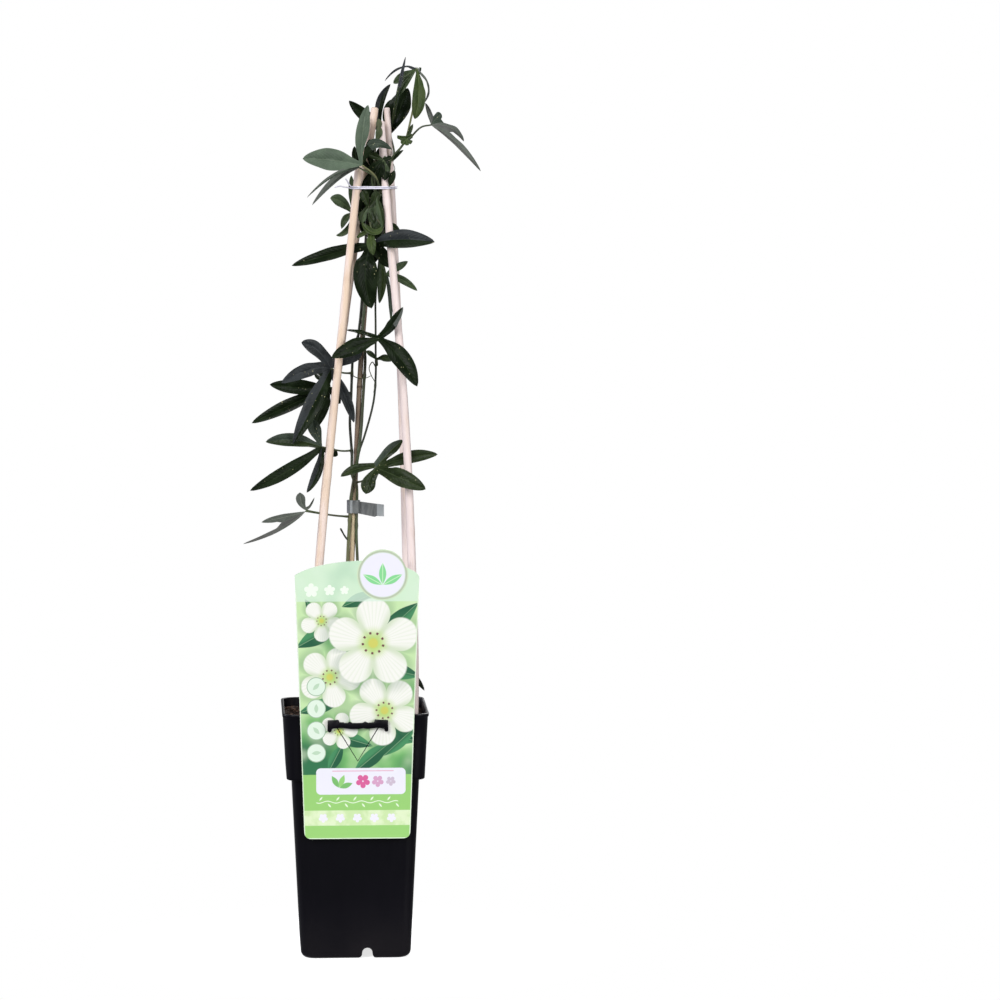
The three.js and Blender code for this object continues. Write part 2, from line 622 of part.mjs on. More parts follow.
// The middle surface of a palmate blade, as points and triangles.
function bladeSheet({ hub, face, lobes, web = WEB_RADIUS }) {
  const centre = vec(hub);
  const leafFace = vec(face).normalize();
  const points = [centre];
  const triangles = [];
  const add = (p) => points.push(p) - 1;
  const curves = lobes.map((lobe) => bowedCurve(centre, lobe.via, lobe.tip));
  const stations = lobes.map((lobe, i) => {
    const curve = curves[i];
    const reach = Math.min(WEB_SHARE, web / curve.getLength());
    const shares = [
      ...WEB_STATIONS.map((s) => s * reach),
      ...LOBE_STATIONS.map((s) => reach + s * (1 - reach)),
    ];
    const lobeFace = lobe.face ? vec(lobe.face).normalize() : leafFace;
    return shares.map((s) => {
      const tangent = curve.getTangent(s);
      const turned = leafFace.clone().lerp(lobeFace, THREE.MathUtils.smoothstep(s, 0, 0.4));
      const side = new THREE.Vector3().crossVectors(turned, tangent).normalize();
      const up = new THREE.Vector3().crossVectors(tangent, side);
      const mid = curve.getPoint(s);
      const edge = (sign) => {
        const away = nearestOn(curves.at((i + sign) % curves.length), mid).sub(mid);
        const overlapDepth = Math.max(0, Math.abs(away.dot(up)) - DEPTH_CLEAR);
        const room = ROOM_SHARE * away.length() * (1 + overlapDepth / DEPTH_CLEAR);
        const half = Math.min((lobe.width / 2) * lobeProfile(s), room);
        return mid.clone().addScaledVector(side, sign * half).addScaledVector(up, BLADE_FOLD * half);
      };
      return { mid, left: edge(1), right: edge(-1) };
    });
  });
  const midIds = stations.map((lobe) => lobe.map((station) => add(station.mid)));
  const edgeIds = stations.map((lobe, i) => lobe.map((station, k) => {
    const inWeb = k < WEB_STATIONS.length;
    const right = inWeb && i > 0 ? -1 : add(station.right);
    const next = inWeb ? stations[i + 1]?.[k] : null;
    const left = add(next ? station.mid.clone().add(next.mid).divideScalar(2) : station.left);
    return { left, right };
  }));
  for (let i = 0; i < stations.length; i++) {
    const left = edgeIds[i].map((ends) => ends.left);
    const right = edgeIds[i].map((ends, k) => (ends.right < 0 ? edgeIds[i - 1][k].left : ends.right));
    const mid = midIds[i];
    const tip = add(vec(lobes[i].tip));
    const last = mid.length - 1;
    triangles.push([0, right[0], mid[0]], [0, mid[0], left[0]]);
    for (let k = 0; k < last; k++) {
      triangles.push([right[k], right[k + 1], mid[k + 1]], [right[k], mid[k + 1], mid[k]]);
      triangles.push([mid[k], mid[k + 1], left[k + 1]], [mid[k], left[k + 1], left[k]]);
    }
    triangles.push([right[last], tip, mid[last]], [mid[last], tip, left[last]]);
  }
  return { points, triangles };
}

// Gives a sheet its thickness, with the same triangles on both faces and a rim round its open edges.
function thicken({ points, triangles }, thick) {
  const sheet = geometryOf(points, triangles);
  sheet.computeVertexNormals();
  const normals = sheet.attributes.normal;
  const count = points.length;
  const shifted = (sign) => points.map((p, i) => {
    const normal = new THREE.Vector3().fromBufferAttribute(normals, i);
    return p.clone().addScaledVector(normal, (sign * thick) / 2);
  });
  const skin = [...shifted(1), ...shifted(-1)];
  const faces = [];
  const open = new Map();
  for (const [a, b, c] of triangles) {
    faces.push([a, b, c], [a + count, c + count, b + count]);
    for (const [p, q] of [[a, b], [b, c], [c, a]]) {
      if (!open.delete(`${q},${p}`)) open.set(`${p},${q}`, [p, q]);
    }
  }
  for (const [p, q] of open.values()) {
    faces.push([p, q + count, q], [p, p + count, q + count]);
  }
  return geometryOf(skin, faces);
}

// One leaf, or a few of one shoot: blades with their petioles, cut back from the stem that bears them.
function leafSolid(leaf, bearers) {
  const leaves = [leaf, ...(leaf.more ?? [])];
  const petiole = { foot: PETIOLE_RADIUS, head: PETIOLE_RADIUS * 0.8, sides: 5, step: 8 };
  const petioles = joined(leaves.map(({ bend, hub }) => rod([leaf.base, bend, hub], petiole)));
  const blades = joined(leaves.map((one) => thicken(bladeSheet(one), BLADE_THICK)));
  return blades.add(largestPiece(bearers.reduce((left, bearer) => left.subtract(bearer), petioles)));
}

// ---- tie wire and tape: loops pulled round what they hold ----
// Outline round a set of circles, listed anticlockwise, each grown by the same amount.
function beltShape(circles, grow, ShapeType = THREE.Shape) {
  const shape = new ShapeType();
  const count = circles.length;
  const normalTo = (from, to) => {
    const span = Math.hypot(to.x - from.x, to.y - from.y);
    const heading = Math.atan2(to.y - from.y, to.x - from.x);
    return heading - Math.acos((from.radius - to.radius) / span);
  };
  circles.forEach((circle, i) => {
    const before = circles[(i + count - 1) % count];
    const after = circles[(i + 1) % count];
    const start = normalTo(before, circle);
    let end = normalTo(circle, after);
    while (end < start) end += 2 * Math.PI;
    shape.absarc(circle.x, circle.y, circle.radius + grow, start, end, false);
  });
  return shape;
}

function beltSolid(circles, thick, height, z) {
  const shape = beltShape(circles, FIT + thick);
  shape.holes.push(beltShape(circles, FIT, THREE.Path));
  const belt = new THREE.ExtrudeGeometry(shape, { depth: height, bevelEnabled: false, curveSegments: 5 });
  return toSolid(placed(belt, 0, 0, z));
}

function tieWireSolid() {
  const circles = Object.values(STICKS).map((path) => {
    const [x, y] = path.find((p) => p[2] === TIE_Z);
    return { x, y, radius: STICK_TOP_RADIUS + TIE_SLACK };
  });
  let wire = beltSolid(circles, TIE_WIRE, TIE_WIRE, TIE_Z);
  const knot = [-1.2, -11.5, TIE_Z + TIE_WIRE / 2];
  const tails = [
    [knot, [-8, -14, TIE_Z + 1.5], [-16, -15, TIE_Z + 1.2]],
    [knot, [-4, -14, TIE_Z + 4], [-6.5, -15, TIE_Z + 8]],
  ];
  for (const tail of tails) wire = wire.add(toSolid(rod(tail, { foot: TIE_WIRE / 2, sides: 5, step: 4 })));
  return wire;
}

function tapeSolid() {
  const middle = TAPE_Z + TAPE_HEIGHT / 2;
  const left = beside(middle, 221, MAIN_RADIUS);
  const right = beside(middle, -40, SECOND_RADIUS);
  const cane = caneAt(middle);
  const circles = [
    { x: left.x, y: left.y, radius: MAIN_RADIUS + TAPE_SLACK },
    { x: right.x, y: right.y, radius: SECOND_RADIUS + TAPE_SLACK },
    { x: cane.x, y: cane.y, radius: CANE_RADIUS + TAPE_SLACK },
  ];
  const belt = beltSolid(circles, TAPE_THICK, TAPE_HEIGHT, TAPE_Z);
  const flag = new THREE.BoxGeometry(TAPE_FLAG, TAPE_THICK * 1.6, TAPE_HEIGHT);
  flag.rotateY(THREE.MathUtils.degToRad(7));
  const rightEdge = right.x + SECOND_RADIUS + TAPE_SLACK + FIT + TAPE_THICK / 2;
  placed(flag, rightEdge + TAPE_FLAG / 2 - 0.3, right.y, middle - 1.5);
  return belt.add(toSolid(flag));
}

// ---- label card ----
function cardGeometry() {
  const halfAt = (v) => THREE.MathUtils.mapLinear(v, CARD_BOTTOM, CARD_TOP, CARD_BOTTOM_HALF, CARD_TOP_HALF);
  const lowHalf = halfAt(CARD_BOTTOM + CARD_CORNER);
  const shape = new THREE.Shape();
  shape.moveTo(-lowHalf + CARD_CORNER, CARD_BOTTOM);
  shape.lineTo(lowHalf - CARD_CORNER, CARD_BOTTOM);
  shape.quadraticCurveTo(lowHalf, CARD_BOTTOM, lowHalf, CARD_BOTTOM + CARD_CORNER);
  shape.lineTo(CARD_TOP_HALF, CARD_TOP - CARD_SHOULDER);
  const discX = DISC_X + DISC_RADIUS * Math.cos(DISC_START);
  const discV = DISC_V + DISC_RADIUS * Math.sin(DISC_START);
  shape.quadraticCurveTo(CARD_TOP_HALF - 0.5, CARD_TOP - 1, discX, discV);
  shape.absarc(DISC_X, DISC_V, DISC_RADIUS, DISC_START, DISC_END, false);
  shape.quadraticCurveTo(-0.7 * CARD_TOP_HALF, CARD_TOP + 7.5, -CARD_TOP_HALF, CARD_TOP - CARD_SHOULDER / 2);
  shape.lineTo(-lowHalf, CARD_BOTTOM + CARD_CORNER);
  shape.quadraticCurveTo(-lowHalf, CARD_BOTTOM, -lowHalf + CARD_CORNER, CARD_BOTTOM);
  const slotHalf = PEG_HALF + SLOT_CLEAR;
  const slotTop = FLAP_TOP - PEG_DROP + PEG_HEIGHT / 2 + SLOT_CLEAR;
  const slotFoot = FLAP_TOP - PEG_DROP - PEG_HEIGHT / 2 - SLOT_CLEAR;
  const left = FLAP_X - PEG_X;
  const right = FLAP_X + PEG_X;
  const cut = new THREE.Path();
  cut.moveTo(left - slotHalf, slotTop);
  cut.lineTo(left - slotHalf, slotFoot);
  cut.lineTo(FLAP_X, FLAP_TOP - FLAP_DEPTH - KERF);
  cut.lineTo(right + slotHalf, slotFoot);
  cut.lineTo(right + slotHalf, slotTop);
  cut.lineTo(right - slotHalf, slotTop);
  cut.lineTo(right - slotHalf, slotFoot);
  cut.lineTo(right + slotHalf - KERF, slotFoot);
  cut.lineTo(FLAP_X, FLAP_TOP - FLAP_DEPTH);
  cut.lineTo(left - slotHalf + KERF, slotFoot);
  cut.lineTo(left + slotHalf, slotFoot);
  cut.lineTo(left + slotHalf, slotTop);
  cut.closePath();
  shape.holes.push(cut);
  const options = { depth: CARD_THICK, bevelEnabled: false, curveSegments: 12 };
  const card = new THREE.ExtrudeGeometry(shape, options);
  card.translate(0, 0, -CARD_THICK / 2);
  card.rotateX(Math.PI / 2 + CARD_LEAN);
  return placed(card, CARD_CENTRE_X, CARD_FRONT, POT_HEIGHT);
}

// ---- soil: fills the pot up to a lumpy top, with a plain hole for each stem and stick ----
function soilSolid(stems) {
  const ring = (half, z) => squareRing(half, POT_CORNER * (half / POT_RIM_HALF), z);
  const inset = POT_WALL + FIT;
  const body = toSolid(loft([
    ring(potHalf(POT_FLOOR) - POT_BASE_ROUND - FIT, POT_FLOOR + FIT),
    ring(potHalf(POT_BASE_ROUND + POT_FLOOR) - inset, POT_BASE_ROUND + POT_FLOOR + FIT),
    ring(POT_STEP_HALF - inset, POT_COLLAR_BOTTOM + POT_EDGE + FIT),
    ring(POT_COLLAR_HALF - inset, POT_COLLAR_BOTTOM + POT_EDGE + POT_LEDGE + 2 * FIT),
    ring(POT_RIM_HALF - inset, POT_HEIGHT),
  ]));
  const lump = (x, y) => (
    Math.sin(0.23 * x + 1.3) * Math.cos(0.31 * y - 0.4) + 0.6 * Math.sin(0.47 * x - 0.39 * y)
  );
  const width = 2 * POT_RIM_HALF;
  const block = new THREE.BoxGeometry(width, width, SOIL_TOP, SOIL_CELLS, SOIL_CELLS, 1);
  placed(block, 0, 0, SOIL_TOP / 2);
  const spots = block.attributes.position;
  for (let i = 0; i < spots.count; i++) {
    if (spots.getZ(i) > POT_FLOOR) spots.setZ(i, SOIL_TOP + SOIL_RELIEF * lump(spots.getX(i), spots.getY(i)));
  }
  const ridge = archBar(GROOVE_HALF + POT_WALL + FIT, GROOVE_HEIGHT + POT_WALL + FIT, 3 * POT_STEP_HALF);
  let soil = body.intersect(toSolid(block)).subtract(toSolid(ridge));
  for (const stem of stems) soil = soil.subtract(stem);
  return soil;
}

// ---- assembly ----
const plant = new THREE.Group();

function show(name, geometry, material) {
  const mesh = new THREE.Mesh(geometry, material);
  mesh.name = name;
  plant.add(mesh);
}

const stickRod = (path, grow = 0) => (
  rod(path, { foot: STICK_FOOT_RADIUS, head: STICK_TOP_RADIUS, sides: 10, step: 60, grow })
);
const caneRod = (grow = 0) => rod(CANE_ROUTE, { foot: CANE_RADIUS, sides: 8, step: 265, grow });
const mainRod = (grow = 0) => rod(MAIN_ROUTE, { foot: MAIN_RADIUS, head: SECOND_RADIUS, step: 12, grow });
const shootRod = (grow = 0) => rod(SHOOT_ROUTE, { foot: SHOOT_RADIUS, step: 8, grow });
const secondRod = (grow = 0) => rod(SECOND_ROUTE, { foot: SECOND_RADIUS, head: SHOOT_RADIUS, step: 9, grow });
const branchRod = (grow = 0) => rod(BRANCH_ROUTE, { foot: BRANCH_RADIUS, sides: 5, grow });

show("pot", fromSolid(potSolid()), blackPlastic);
const stickHoles = Object.values(STICKS).map((path) => stickRod(path, FIT));
const stemHoles = [caneRod(FIT), mainRod(FIT), secondRod(FIT)];
show("soil", fromSolid(soilSolid([...stickHoles, ...stemHoles].map(toSolid))), compost);
for (const [name, path] of Object.entries(STICKS)) show(name, stickRod(path), paleWood);
show("cane", caneRod(), bamboo);
const tendrils = TENDRIL_ROUTES.map((path) => rod(path, { foot: TENDRIL_RADIUS, sides: 5, step: 5 }));
const bracts = thicken(bladeSheet(BRACTS), BLADE_THICK);
show("stem_main", fromSolid(joined([mainRod(), shootRod(), branchRod(), bracts, ...tendrils])), greenStem);
show("stem_second", fromSolid(toSolid(secondRod())), greenStem);
show("tie_wire", fromSolid(tieWireSolid()), paleWire);
show("tie_tape", fromSolid(tapeSolid()), greyTape);
show("label_card", fromSolid(toSolid(cardGeometry())), printedCard);
const bearers = [mainRod(FIT), shootRod(FIT), secondRod(FIT), branchRod(FIT)].map(toSolid);
for (const leaf of LEAVES) show(leaf.name, fromSolid(leafSolid(leaf, bearers)), darkLeaf);

export default plant;
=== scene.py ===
import math
import random

import bmesh
import bpy
from mathutils import Matrix, Vector, noise


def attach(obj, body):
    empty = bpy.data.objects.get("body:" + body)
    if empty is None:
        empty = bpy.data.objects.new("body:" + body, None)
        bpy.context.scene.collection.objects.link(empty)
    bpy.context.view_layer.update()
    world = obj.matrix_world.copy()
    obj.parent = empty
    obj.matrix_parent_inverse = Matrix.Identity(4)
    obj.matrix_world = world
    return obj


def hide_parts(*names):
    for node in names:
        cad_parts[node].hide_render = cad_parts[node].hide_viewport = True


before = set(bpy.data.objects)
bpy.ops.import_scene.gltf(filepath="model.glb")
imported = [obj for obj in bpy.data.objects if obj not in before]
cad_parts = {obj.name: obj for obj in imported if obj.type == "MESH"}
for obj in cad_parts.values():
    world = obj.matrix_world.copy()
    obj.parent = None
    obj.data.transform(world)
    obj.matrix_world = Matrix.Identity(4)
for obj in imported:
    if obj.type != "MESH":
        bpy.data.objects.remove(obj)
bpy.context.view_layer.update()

MM = 0.001  # routes and sizes below are in millimetres, and every mesh is in metres

# ---- View, floor and light -------------------------------------------------------------------
# The plant stands on a pale floor in soft light, seen from the front by a long lens a little
# above the pot's rim.
CAMERA_AT = Vector((-104.7, -3998.6, 730)) * MM
CAMERA_LOOK = Vector((0.05853, 0.99495, -0.08126))
CAMERA_LENS = 162.36
LIGHTS_AIM = Vector((0, 0, 0.4))
LIGHTS = {  # place in metres, size, energy and colour
    "key": ((-1.5, -2.9, 1.9), 1.8, 98, (1, 1, 1)),
    "fill": ((2.1, -2.5, 1.1), 2.0, 62, (1, 1, 1)),
    "top": ((0.2, -0.5, 3.3), 1.2, 30, (1, 1, 1)),
    "side": ((-2.7, 0.5, 0.9), 0.9, 42, (0.86, 0.86, 1)),
    "back": ((0.9, 2.6, 1.8), 1.6, 34, (1, 1, 1)),
}
FLOOR_HALF = 1.2
FLOOR_FADE = (0.09, 0.24)  # distances from the middle between which the floor fades out


def put(name, data):
    """Puts data into the scene as an object."""
    thing = bpy.data.objects.new(name, data)
    bpy.context.collection.objects.link(thing)
    return thing


def aim(thing, way):
    """Turns a camera or a light to look one way."""
    thing.rotation_euler = way.to_track_quat("-Z", "Y").to_euler()


camera_data = bpy.data.cameras.new("camera")
camera_data.lens = CAMERA_LENS
camera_data.sensor_width = 36
camera = put("camera", camera_data)
camera.location = CAMERA_AT
aim(camera, CAMERA_LOOK)
scene = bpy.context.scene
scene.camera = camera
scene.view_settings.view_transform = "Standard"

for name, (at, size, energy, colour) in LIGHTS.items():
    lamp = bpy.data.lights.new(name, "AREA")
    lamp.size = size
    lamp.energy = energy
    lamp.color = colour
    light = put(name, lamp)
    light.location = at
    aim(light, LIGHTS_AIM - Vector(at))


class Flow:
    """A value that a shader tree works out. Arithmetic on it adds maths nodes to the tree."""

    def __init__(self, socket):
        self.socket = socket

    def __add__(self, other):
        return calc("ADD", self, other)

    def __sub__(self, other):
        return calc("SUBTRACT", self, other)

    def __mul__(self, other):
        return calc("MULTIPLY", self, other)

    def __truediv__(self, other):
        return calc("DIVIDE", self, other)

    def __abs__(self):
        return calc("ABSOLUTE", self)


def plug(node, sockets):
    """Sets a node's sockets by name, each to a value, a colour or what another node gives."""
    for key, value in sockets.items():
        given = getattr(value, "socket", value)
        socket = node.inputs[key]
        if isinstance(given, bpy.types.NodeSocket):
            node.id_data.links.new(given, socket)
        else:
            socket.default_value = (*given, 1) if socket.type == "RGBA" else given


def add(tree, kind, sockets, **settings):
    """One shader node: its settings, then its sockets."""
    node = tree.nodes.new(kind)
    for key, value in settings.items():
        setattr(node, key, value)
    plug(node, sockets)
    return node


def tree_of(*values):
    """The shader tree that works these values out."""
    return next(value.socket.id_data for value in values if isinstance(value, Flow))


def calc(operation, *values):
    """One arithmetic step on values."""
    sockets = dict(enumerate(values))
    return Flow(add(tree_of(*values), "ShaderNodeMath", sockets, operation=operation).outputs[0])


def ramp(value, low, high, out_low=0.0, out_high=1.0):
    """Maps a value from one range to another, smoothly and clamped."""
    sockets = {"Value": value, "From Min": low, "From Max": high, "To Min": out_low, "To Max": out_high}
    node = add(tree_of(value), "ShaderNodeMapRange", sockets, interpolation_type="SMOOTHSTEP")
    return Flow(node.outputs[0])


def place_of(tree):
    """A point's place on the object, in metres."""
    return Flow(add(tree, "ShaderNodeTexCoord", {}).outputs["Object"])


def new_material(name):
    """A new material, its Principled shader and a point's place on the object."""
    made = bpy.data.materials.new(name)
    made.use_nodes = True
    return made, made.node_tree.nodes["Principled BSDF"], place_of(made.node_tree)


world = bpy.data.worlds.new("studio")
scene.world = world
world.use_nodes = True
sky = world.node_tree
sky.nodes.clear()
shown = add(sky, "ShaderNodeBackground", {"Color": (1, 1, 1), "Strength": 1.0}).outputs[0]
lighting = add(sky, "ShaderNodeBackground", {"Color": (0.93, 0.96, 1), "Strength": 0.16}).outputs[0]
seen = add(sky, "ShaderNodeLightPath", {}).outputs["Is Camera Ray"]
either = add(sky, "ShaderNodeMixShader", {0: seen, 1: lighting, 2: shown}).outputs[0]
add(sky, "ShaderNodeOutputWorld", {"Surface": either})

floor_mesh = bmesh.new()
bmesh.ops.create_grid(floor_mesh, x_segments=1, y_segments=1, size=FLOOR_HALF)
floor_data = bpy.data.meshes.new("floor")
floor_mesh.to_mesh(floor_data)
floor_mesh.free()
floor = put("floor", floor_data)
floor_paper, shader, spot = new_material("floor_paper")
away = Flow(add(tree_of(spot), "ShaderNodeVectorMath", {0: spot}, operation="LENGTH").outputs["Value"])
plug(shader, {
    "Alpha": ramp(away, *FLOOR_FADE, 1.0, 0.0), "Base Color": (0.8, 0.8, 0.8), "Roughness": 0.9,
    "Specular IOR Level": 0.0, "Emission Color": (1, 1, 1), "Emission Strength": 0.72,
})
floor_data.materials.append(floor_paper)
floor.visible_glossy = False

# ---- Pot -------------------------------------------------------------------------------------
# Tall square pot, moulded in black plastic: tapered body, collar with a rim bead, a drainage
# groove and four holes underneath, and on the front a wavy bar on two pegs that carries the card.
POT_HEIGHT = 220
RIM_HALF = 64
COLLAR_HALF = 61
STEP_HALF = 56.3
BASE_HALF = 48.5
COLLAR_BOTTOM = 162
COLLAR_ROUND = 1.2
POT_WALL = 1.8
LIP = 0.7
LIP_HEIGHT = 3
LIP_ROUND = 0.8
INNER_ROUND = 0.5
POT_CORNER = 12
BASE_ROUND = 7
POT_FLOOR = 12.5
GROOVE_X = 10
GROOVE_HALF = 4.6
GROOVE_HEIGHT = 10
GROOVE_FLARE = 5
DRAIN_RADIUS = 4
DRAIN_SPACING = 27
SIDE_STEPS = 6  # points on each straight side and in each corner of the pot's rings
CORNER_STEPS = 9
HOOK_OUTLINE = [
    (-26.5, 3.4), (-17, 3.8), (-16, 1.2), (-9, 0.9), (-7, 2.2), (-5, 0.9), (4, 0.9), (6.5, 2.2),
    (9, 1), (14, 1.4), (15, 3.8), (26.5, 3.4), (26.8, -6.2), (25.4, -7), (23.4, -6.4), (23, -4),
    (17, -3.4), (9, -4.4), (5, -3.8), (0, -4.4), (-6, -4.4), (-12, -3.6), (-17, -3.4), (-22.6, -4),
    (-23.4, -6.6), (-25, -7.4), (-26.8, -6.4),
]
HOOK_X = 1.5
HOOK_Z = 212.5
HOOK_BACK = -68.05
HOOK_DEPTH = 2.4
HOOK_ROUND = 0.45
PEG_X = 15.5
PEG_SIZE = (5.2, 5.9, 3.2)
PEG_Y = -66.2


def blend(factor, low, high):
    """Mixes two colours by a factor."""
    sockets = {0: factor, 6: low, 7: high}
    return Flow(add(tree_of(factor, low, high), "ShaderNodeMix", sockets, data_type="RGBA").outputs[2])


def axes(vector):
    """A vector's three numbers."""
    return [Flow(socket) for socket in add(tree_of(vector), "ShaderNodeSeparateXYZ", {0: vector}).outputs]


def speckle(vector, scale, detail=3.0, roughness=0.55):
    """Noise from 0 to 1 at so many blotches per metre, or at so many along each axis."""
    if isinstance(scale, tuple):
        stretched = add(tree_of(vector), "ShaderNodeMapping", {"Vector": vector, "Scale": scale})
        vector = Flow(stretched.outputs[0])
        scale = 1.0
    sockets = {"Vector": vector, "Scale": scale, "Detail": detail, "Roughness": roughness}
    return Flow(add(tree_of(vector), "ShaderNodeTexNoise", sockets).outputs["Fac"])


def surface(shader, colour, rough, height, distance, strength, shine=0.5):
    """Gives a material its colour, its roughness and a relief of so many metres."""
    sockets = {"Height": height, "Distance": distance, "Strength": strength}
    bump = add(shader.id_data, "ShaderNodeBump", sockets)
    plug(shader, {
        "Base Color": colour, "Roughness": rough, "Specular IOR Level": shine, "Normal": bump.outputs[0],
    })


def mesh_piece(bm, name, node, materials, sharp=35):
    """Makes a finished piece of a bmesh: smooth, with sharp edges past an angle, in place of a CAD node."""
    bm.normal_update()
    for face in bm.faces:
        face.smooth = True
    for edge in bm.edges:
        edge.smooth = edge.calc_face_angle(0) < math.radians(sharp)
    data = bpy.data.meshes.new(name)
    bm.to_mesh(data)
    bm.free()
    for material in materials:
        data.materials.append(material)
    piece = put(name, data)
    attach(piece, "root")
    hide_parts(node)


def join_mesh(bm, other):
    """Adds the faces of another bmesh to this one, and frees the other."""
    data = bpy.data.meshes.new("part")
    other.to_mesh(data)
    other.free()
    bm.from_mesh(data)
    bpy.data.meshes.remove(data)


def verts_in(geom):
    """The vertices in what a bmesh operator gives back."""
    return [part for part in geom if isinstance(part, bmesh.types.BMVert)]


def square_point(index, half, corner, z):
    """Point of a rounded square ring, anticlockwise from above, starting at the +X side's middle."""
    side, step = divmod(index, SIDE_STEPS + CORNER_STEPS)
    reach = half - corner
    if step < CORNER_STEPS:
        turn = math.pi / 2 * step / CORNER_STEPS
        x, y = reach + corner * math.cos(turn), reach + corner * math.sin(turn)
    else:
        x, y = reach * (1 - 2 * (step - CORNER_STEPS) / SIDE_STEPS), half
    turned = Matrix.Rotation(side * math.pi / 2, 2) @ Vector((x, y))
    return Vector((turned.x, turned.y, z)) * MM


def pot_half(z):
    """Half width of the pot's outside at a height."""
    if z < COLLAR_BOTTOM:
        return BASE_HALF + (STEP_HALF - BASE_HALF) * z / COLLAR_BOTTOM
    return COLLAR_HALF + (RIM_HALF - COLLAR_HALF) * (z - COLLAR_BOTTOM) / (POT_HEIGHT - COLLAR_BOTTOM)


def rounding(x, z, radius, start, end, steps):
    """Points (x, z) along an arc of a section, from one angle in degrees to another."""
    turns = [math.radians(start + (end - start) * k / steps) for k in range(steps + 1)]
    return [(x + radius * math.cos(turn), z + radius * math.sin(turn)) for turn in turns]


def next_ring(bm, ring):
    """Extrudes a closed loop of vertices and gives back the new loop in the same order."""
    edges = [bm.edges.get((a, b)) for a, b in zip(ring, ring[1:] + ring[:1])]
    fresh = set(verts_in(bmesh.ops.extrude_edge_only(bm, edges=edges)["geom"]))
    return [next(e.other_vert(v) for e in v.link_edges if e.other_vert(v) in fresh) for v in ring]


def pot_levels():
    """The pot's section as (half, z): up the outside, over the rim and down the inside."""
    lip_foot = POT_HEIGHT - LIP_HEIGHT
    rim_out = RIM_HALF + LIP - LIP_ROUND
    rim_in = RIM_HALF - POT_WALL + INNER_ROUND
    return [
        *rounding(pot_half(BASE_ROUND) - BASE_ROUND, BASE_ROUND, BASE_ROUND, -90, 0, 6),
        *[(pot_half(z), z) for z in (40, 80, 120, 150)],
        (STEP_HALF - 0.2, COLLAR_BOTTOM - 3),
        *rounding(STEP_HALF + COLLAR_ROUND, COLLAR_BOTTOM - 2.2, COLLAR_ROUND, 180, 90, 4),
        *rounding(COLLAR_HALF - COLLAR_ROUND, COLLAR_BOTTOM + 0.2, COLLAR_ROUND, -90, 0, 4),
        *[(pot_half(z), z) for z in (COLLAR_BOTTOM + 2, 180, 198, lip_foot - 0.8)],
        (pot_half(lip_foot) + 0.15, lip_foot - 0.3),
        (pot_half(lip_foot) + LIP, lip_foot + 0.4),
        *rounding(rim_out, POT_HEIGHT - LIP_ROUND, LIP_ROUND, 0, 90, 4),
        *rounding(rim_in, POT_HEIGHT - INNER_ROUND, INNER_ROUND, 90, 180, 3),
        *[(pot_half(z) - POT_WALL, z) for z in (208, 190, COLLAR_BOTTOM + 6)],
        (STEP_HALF - POT_WALL, COLLAR_BOTTOM - 4),
        (pot_half(POT_FLOOR) - POT_WALL, POT_FLOOR),
    ]


def pulled_outline(outline, x, y, z, depth):
    """Solid bar: an outline of (x, z) points at a place, pulled along Y."""
    bm = bmesh.new()
    face = bm.faces.new([bm.verts.new(Vector((x + across, y, z + up)) * MM) for across, up in outline])
    pulled = bmesh.ops.extrude_face_region(bm, geom=[face])["geom"]
    bmesh.ops.translate(bm, vec=(0, depth * MM, 0), verts=verts_in(pulled))
    bmesh.ops.recalc_face_normals(bm, faces=bm.faces)
    return bm


def groove_outline():
    """Arch with a flared foot."""
    flare = GROOVE_HALF + GROOVE_FLARE
    crown = GROOVE_HEIGHT - GROOVE_HALF
    sweep = [(flare - GROOVE_FLARE * (1 - (1 - s / 6) ** 2), crown * (s / 6) ** 2) for s in range(7)]
    arch = rounding(0, crown, GROOVE_HALF, 0, 180, 14)[1:]
    return [(-flare, -2), (flare, -2), *sweep, *arch, *[(-x, z) for x, z in sweep[-2::-1]]]


def cut_by(bm, cutter):
    """Cuts one bmesh by another with a Boolean modifier and gives back the result."""
    objects = []
    for source, name in ((bm, "whole"), (cutter, "cutter")):
        data = bpy.data.meshes.new(name)
        source.to_mesh(data)
        source.free()
        objects.append(put(name, data))
    whole, tool = objects
    boolean = whole.modifiers.new("cut", "BOOLEAN")
    boolean.operation = "DIFFERENCE"
    boolean.solver = "EXACT"
    boolean.object = tool
    result = bmesh.new()
    result.from_object(whole, bpy.context.evaluated_depsgraph_get())
    for thing in objects:
        bpy.data.objects.remove(thing)
    return result


pot_mesh = bmesh.new()
ring = list(bmesh.ops.create_circle(pot_mesh, segments=4 * (SIDE_STEPS + CORNER_STEPS), radius=1)["verts"])
first = ring
for level, (half, z) in enumerate(pot_levels()):
    if level:
        ring = next_ring(pot_mesh, ring)
    for index, vert in enumerate(ring):
        vert.co = square_point(index, half, POT_CORNER * half / RIM_HALF, z)
pot_mesh.faces.new(first)
pot_mesh.faces.new(ring)
bmesh.ops.recalc_face_normals(pot_mesh, faces=pot_mesh.faces)
pot_mesh = cut_by(pot_mesh, pulled_outline(groove_outline(), GROOVE_X, -80, 0, 160))
holes = bmesh.new()
for hole_x in (-DRAIN_SPACING, DRAIN_SPACING):
    for hole_y in (-DRAIN_SPACING, DRAIN_SPACING):
        at = Matrix.Translation(Vector((hole_x, hole_y, 0)) * MM)
        bmesh.ops.create_cone(holes, cap_ends=True, segments=32, radius1=DRAIN_RADIUS * MM,
                              radius2=DRAIN_RADIUS * MM, depth=40 * MM, matrix=at)
pot_mesh = cut_by(pot_mesh, holes)
hook = pulled_outline(HOOK_OUTLINE, HOOK_X, HOOK_BACK, HOOK_Z, -HOOK_DEPTH)
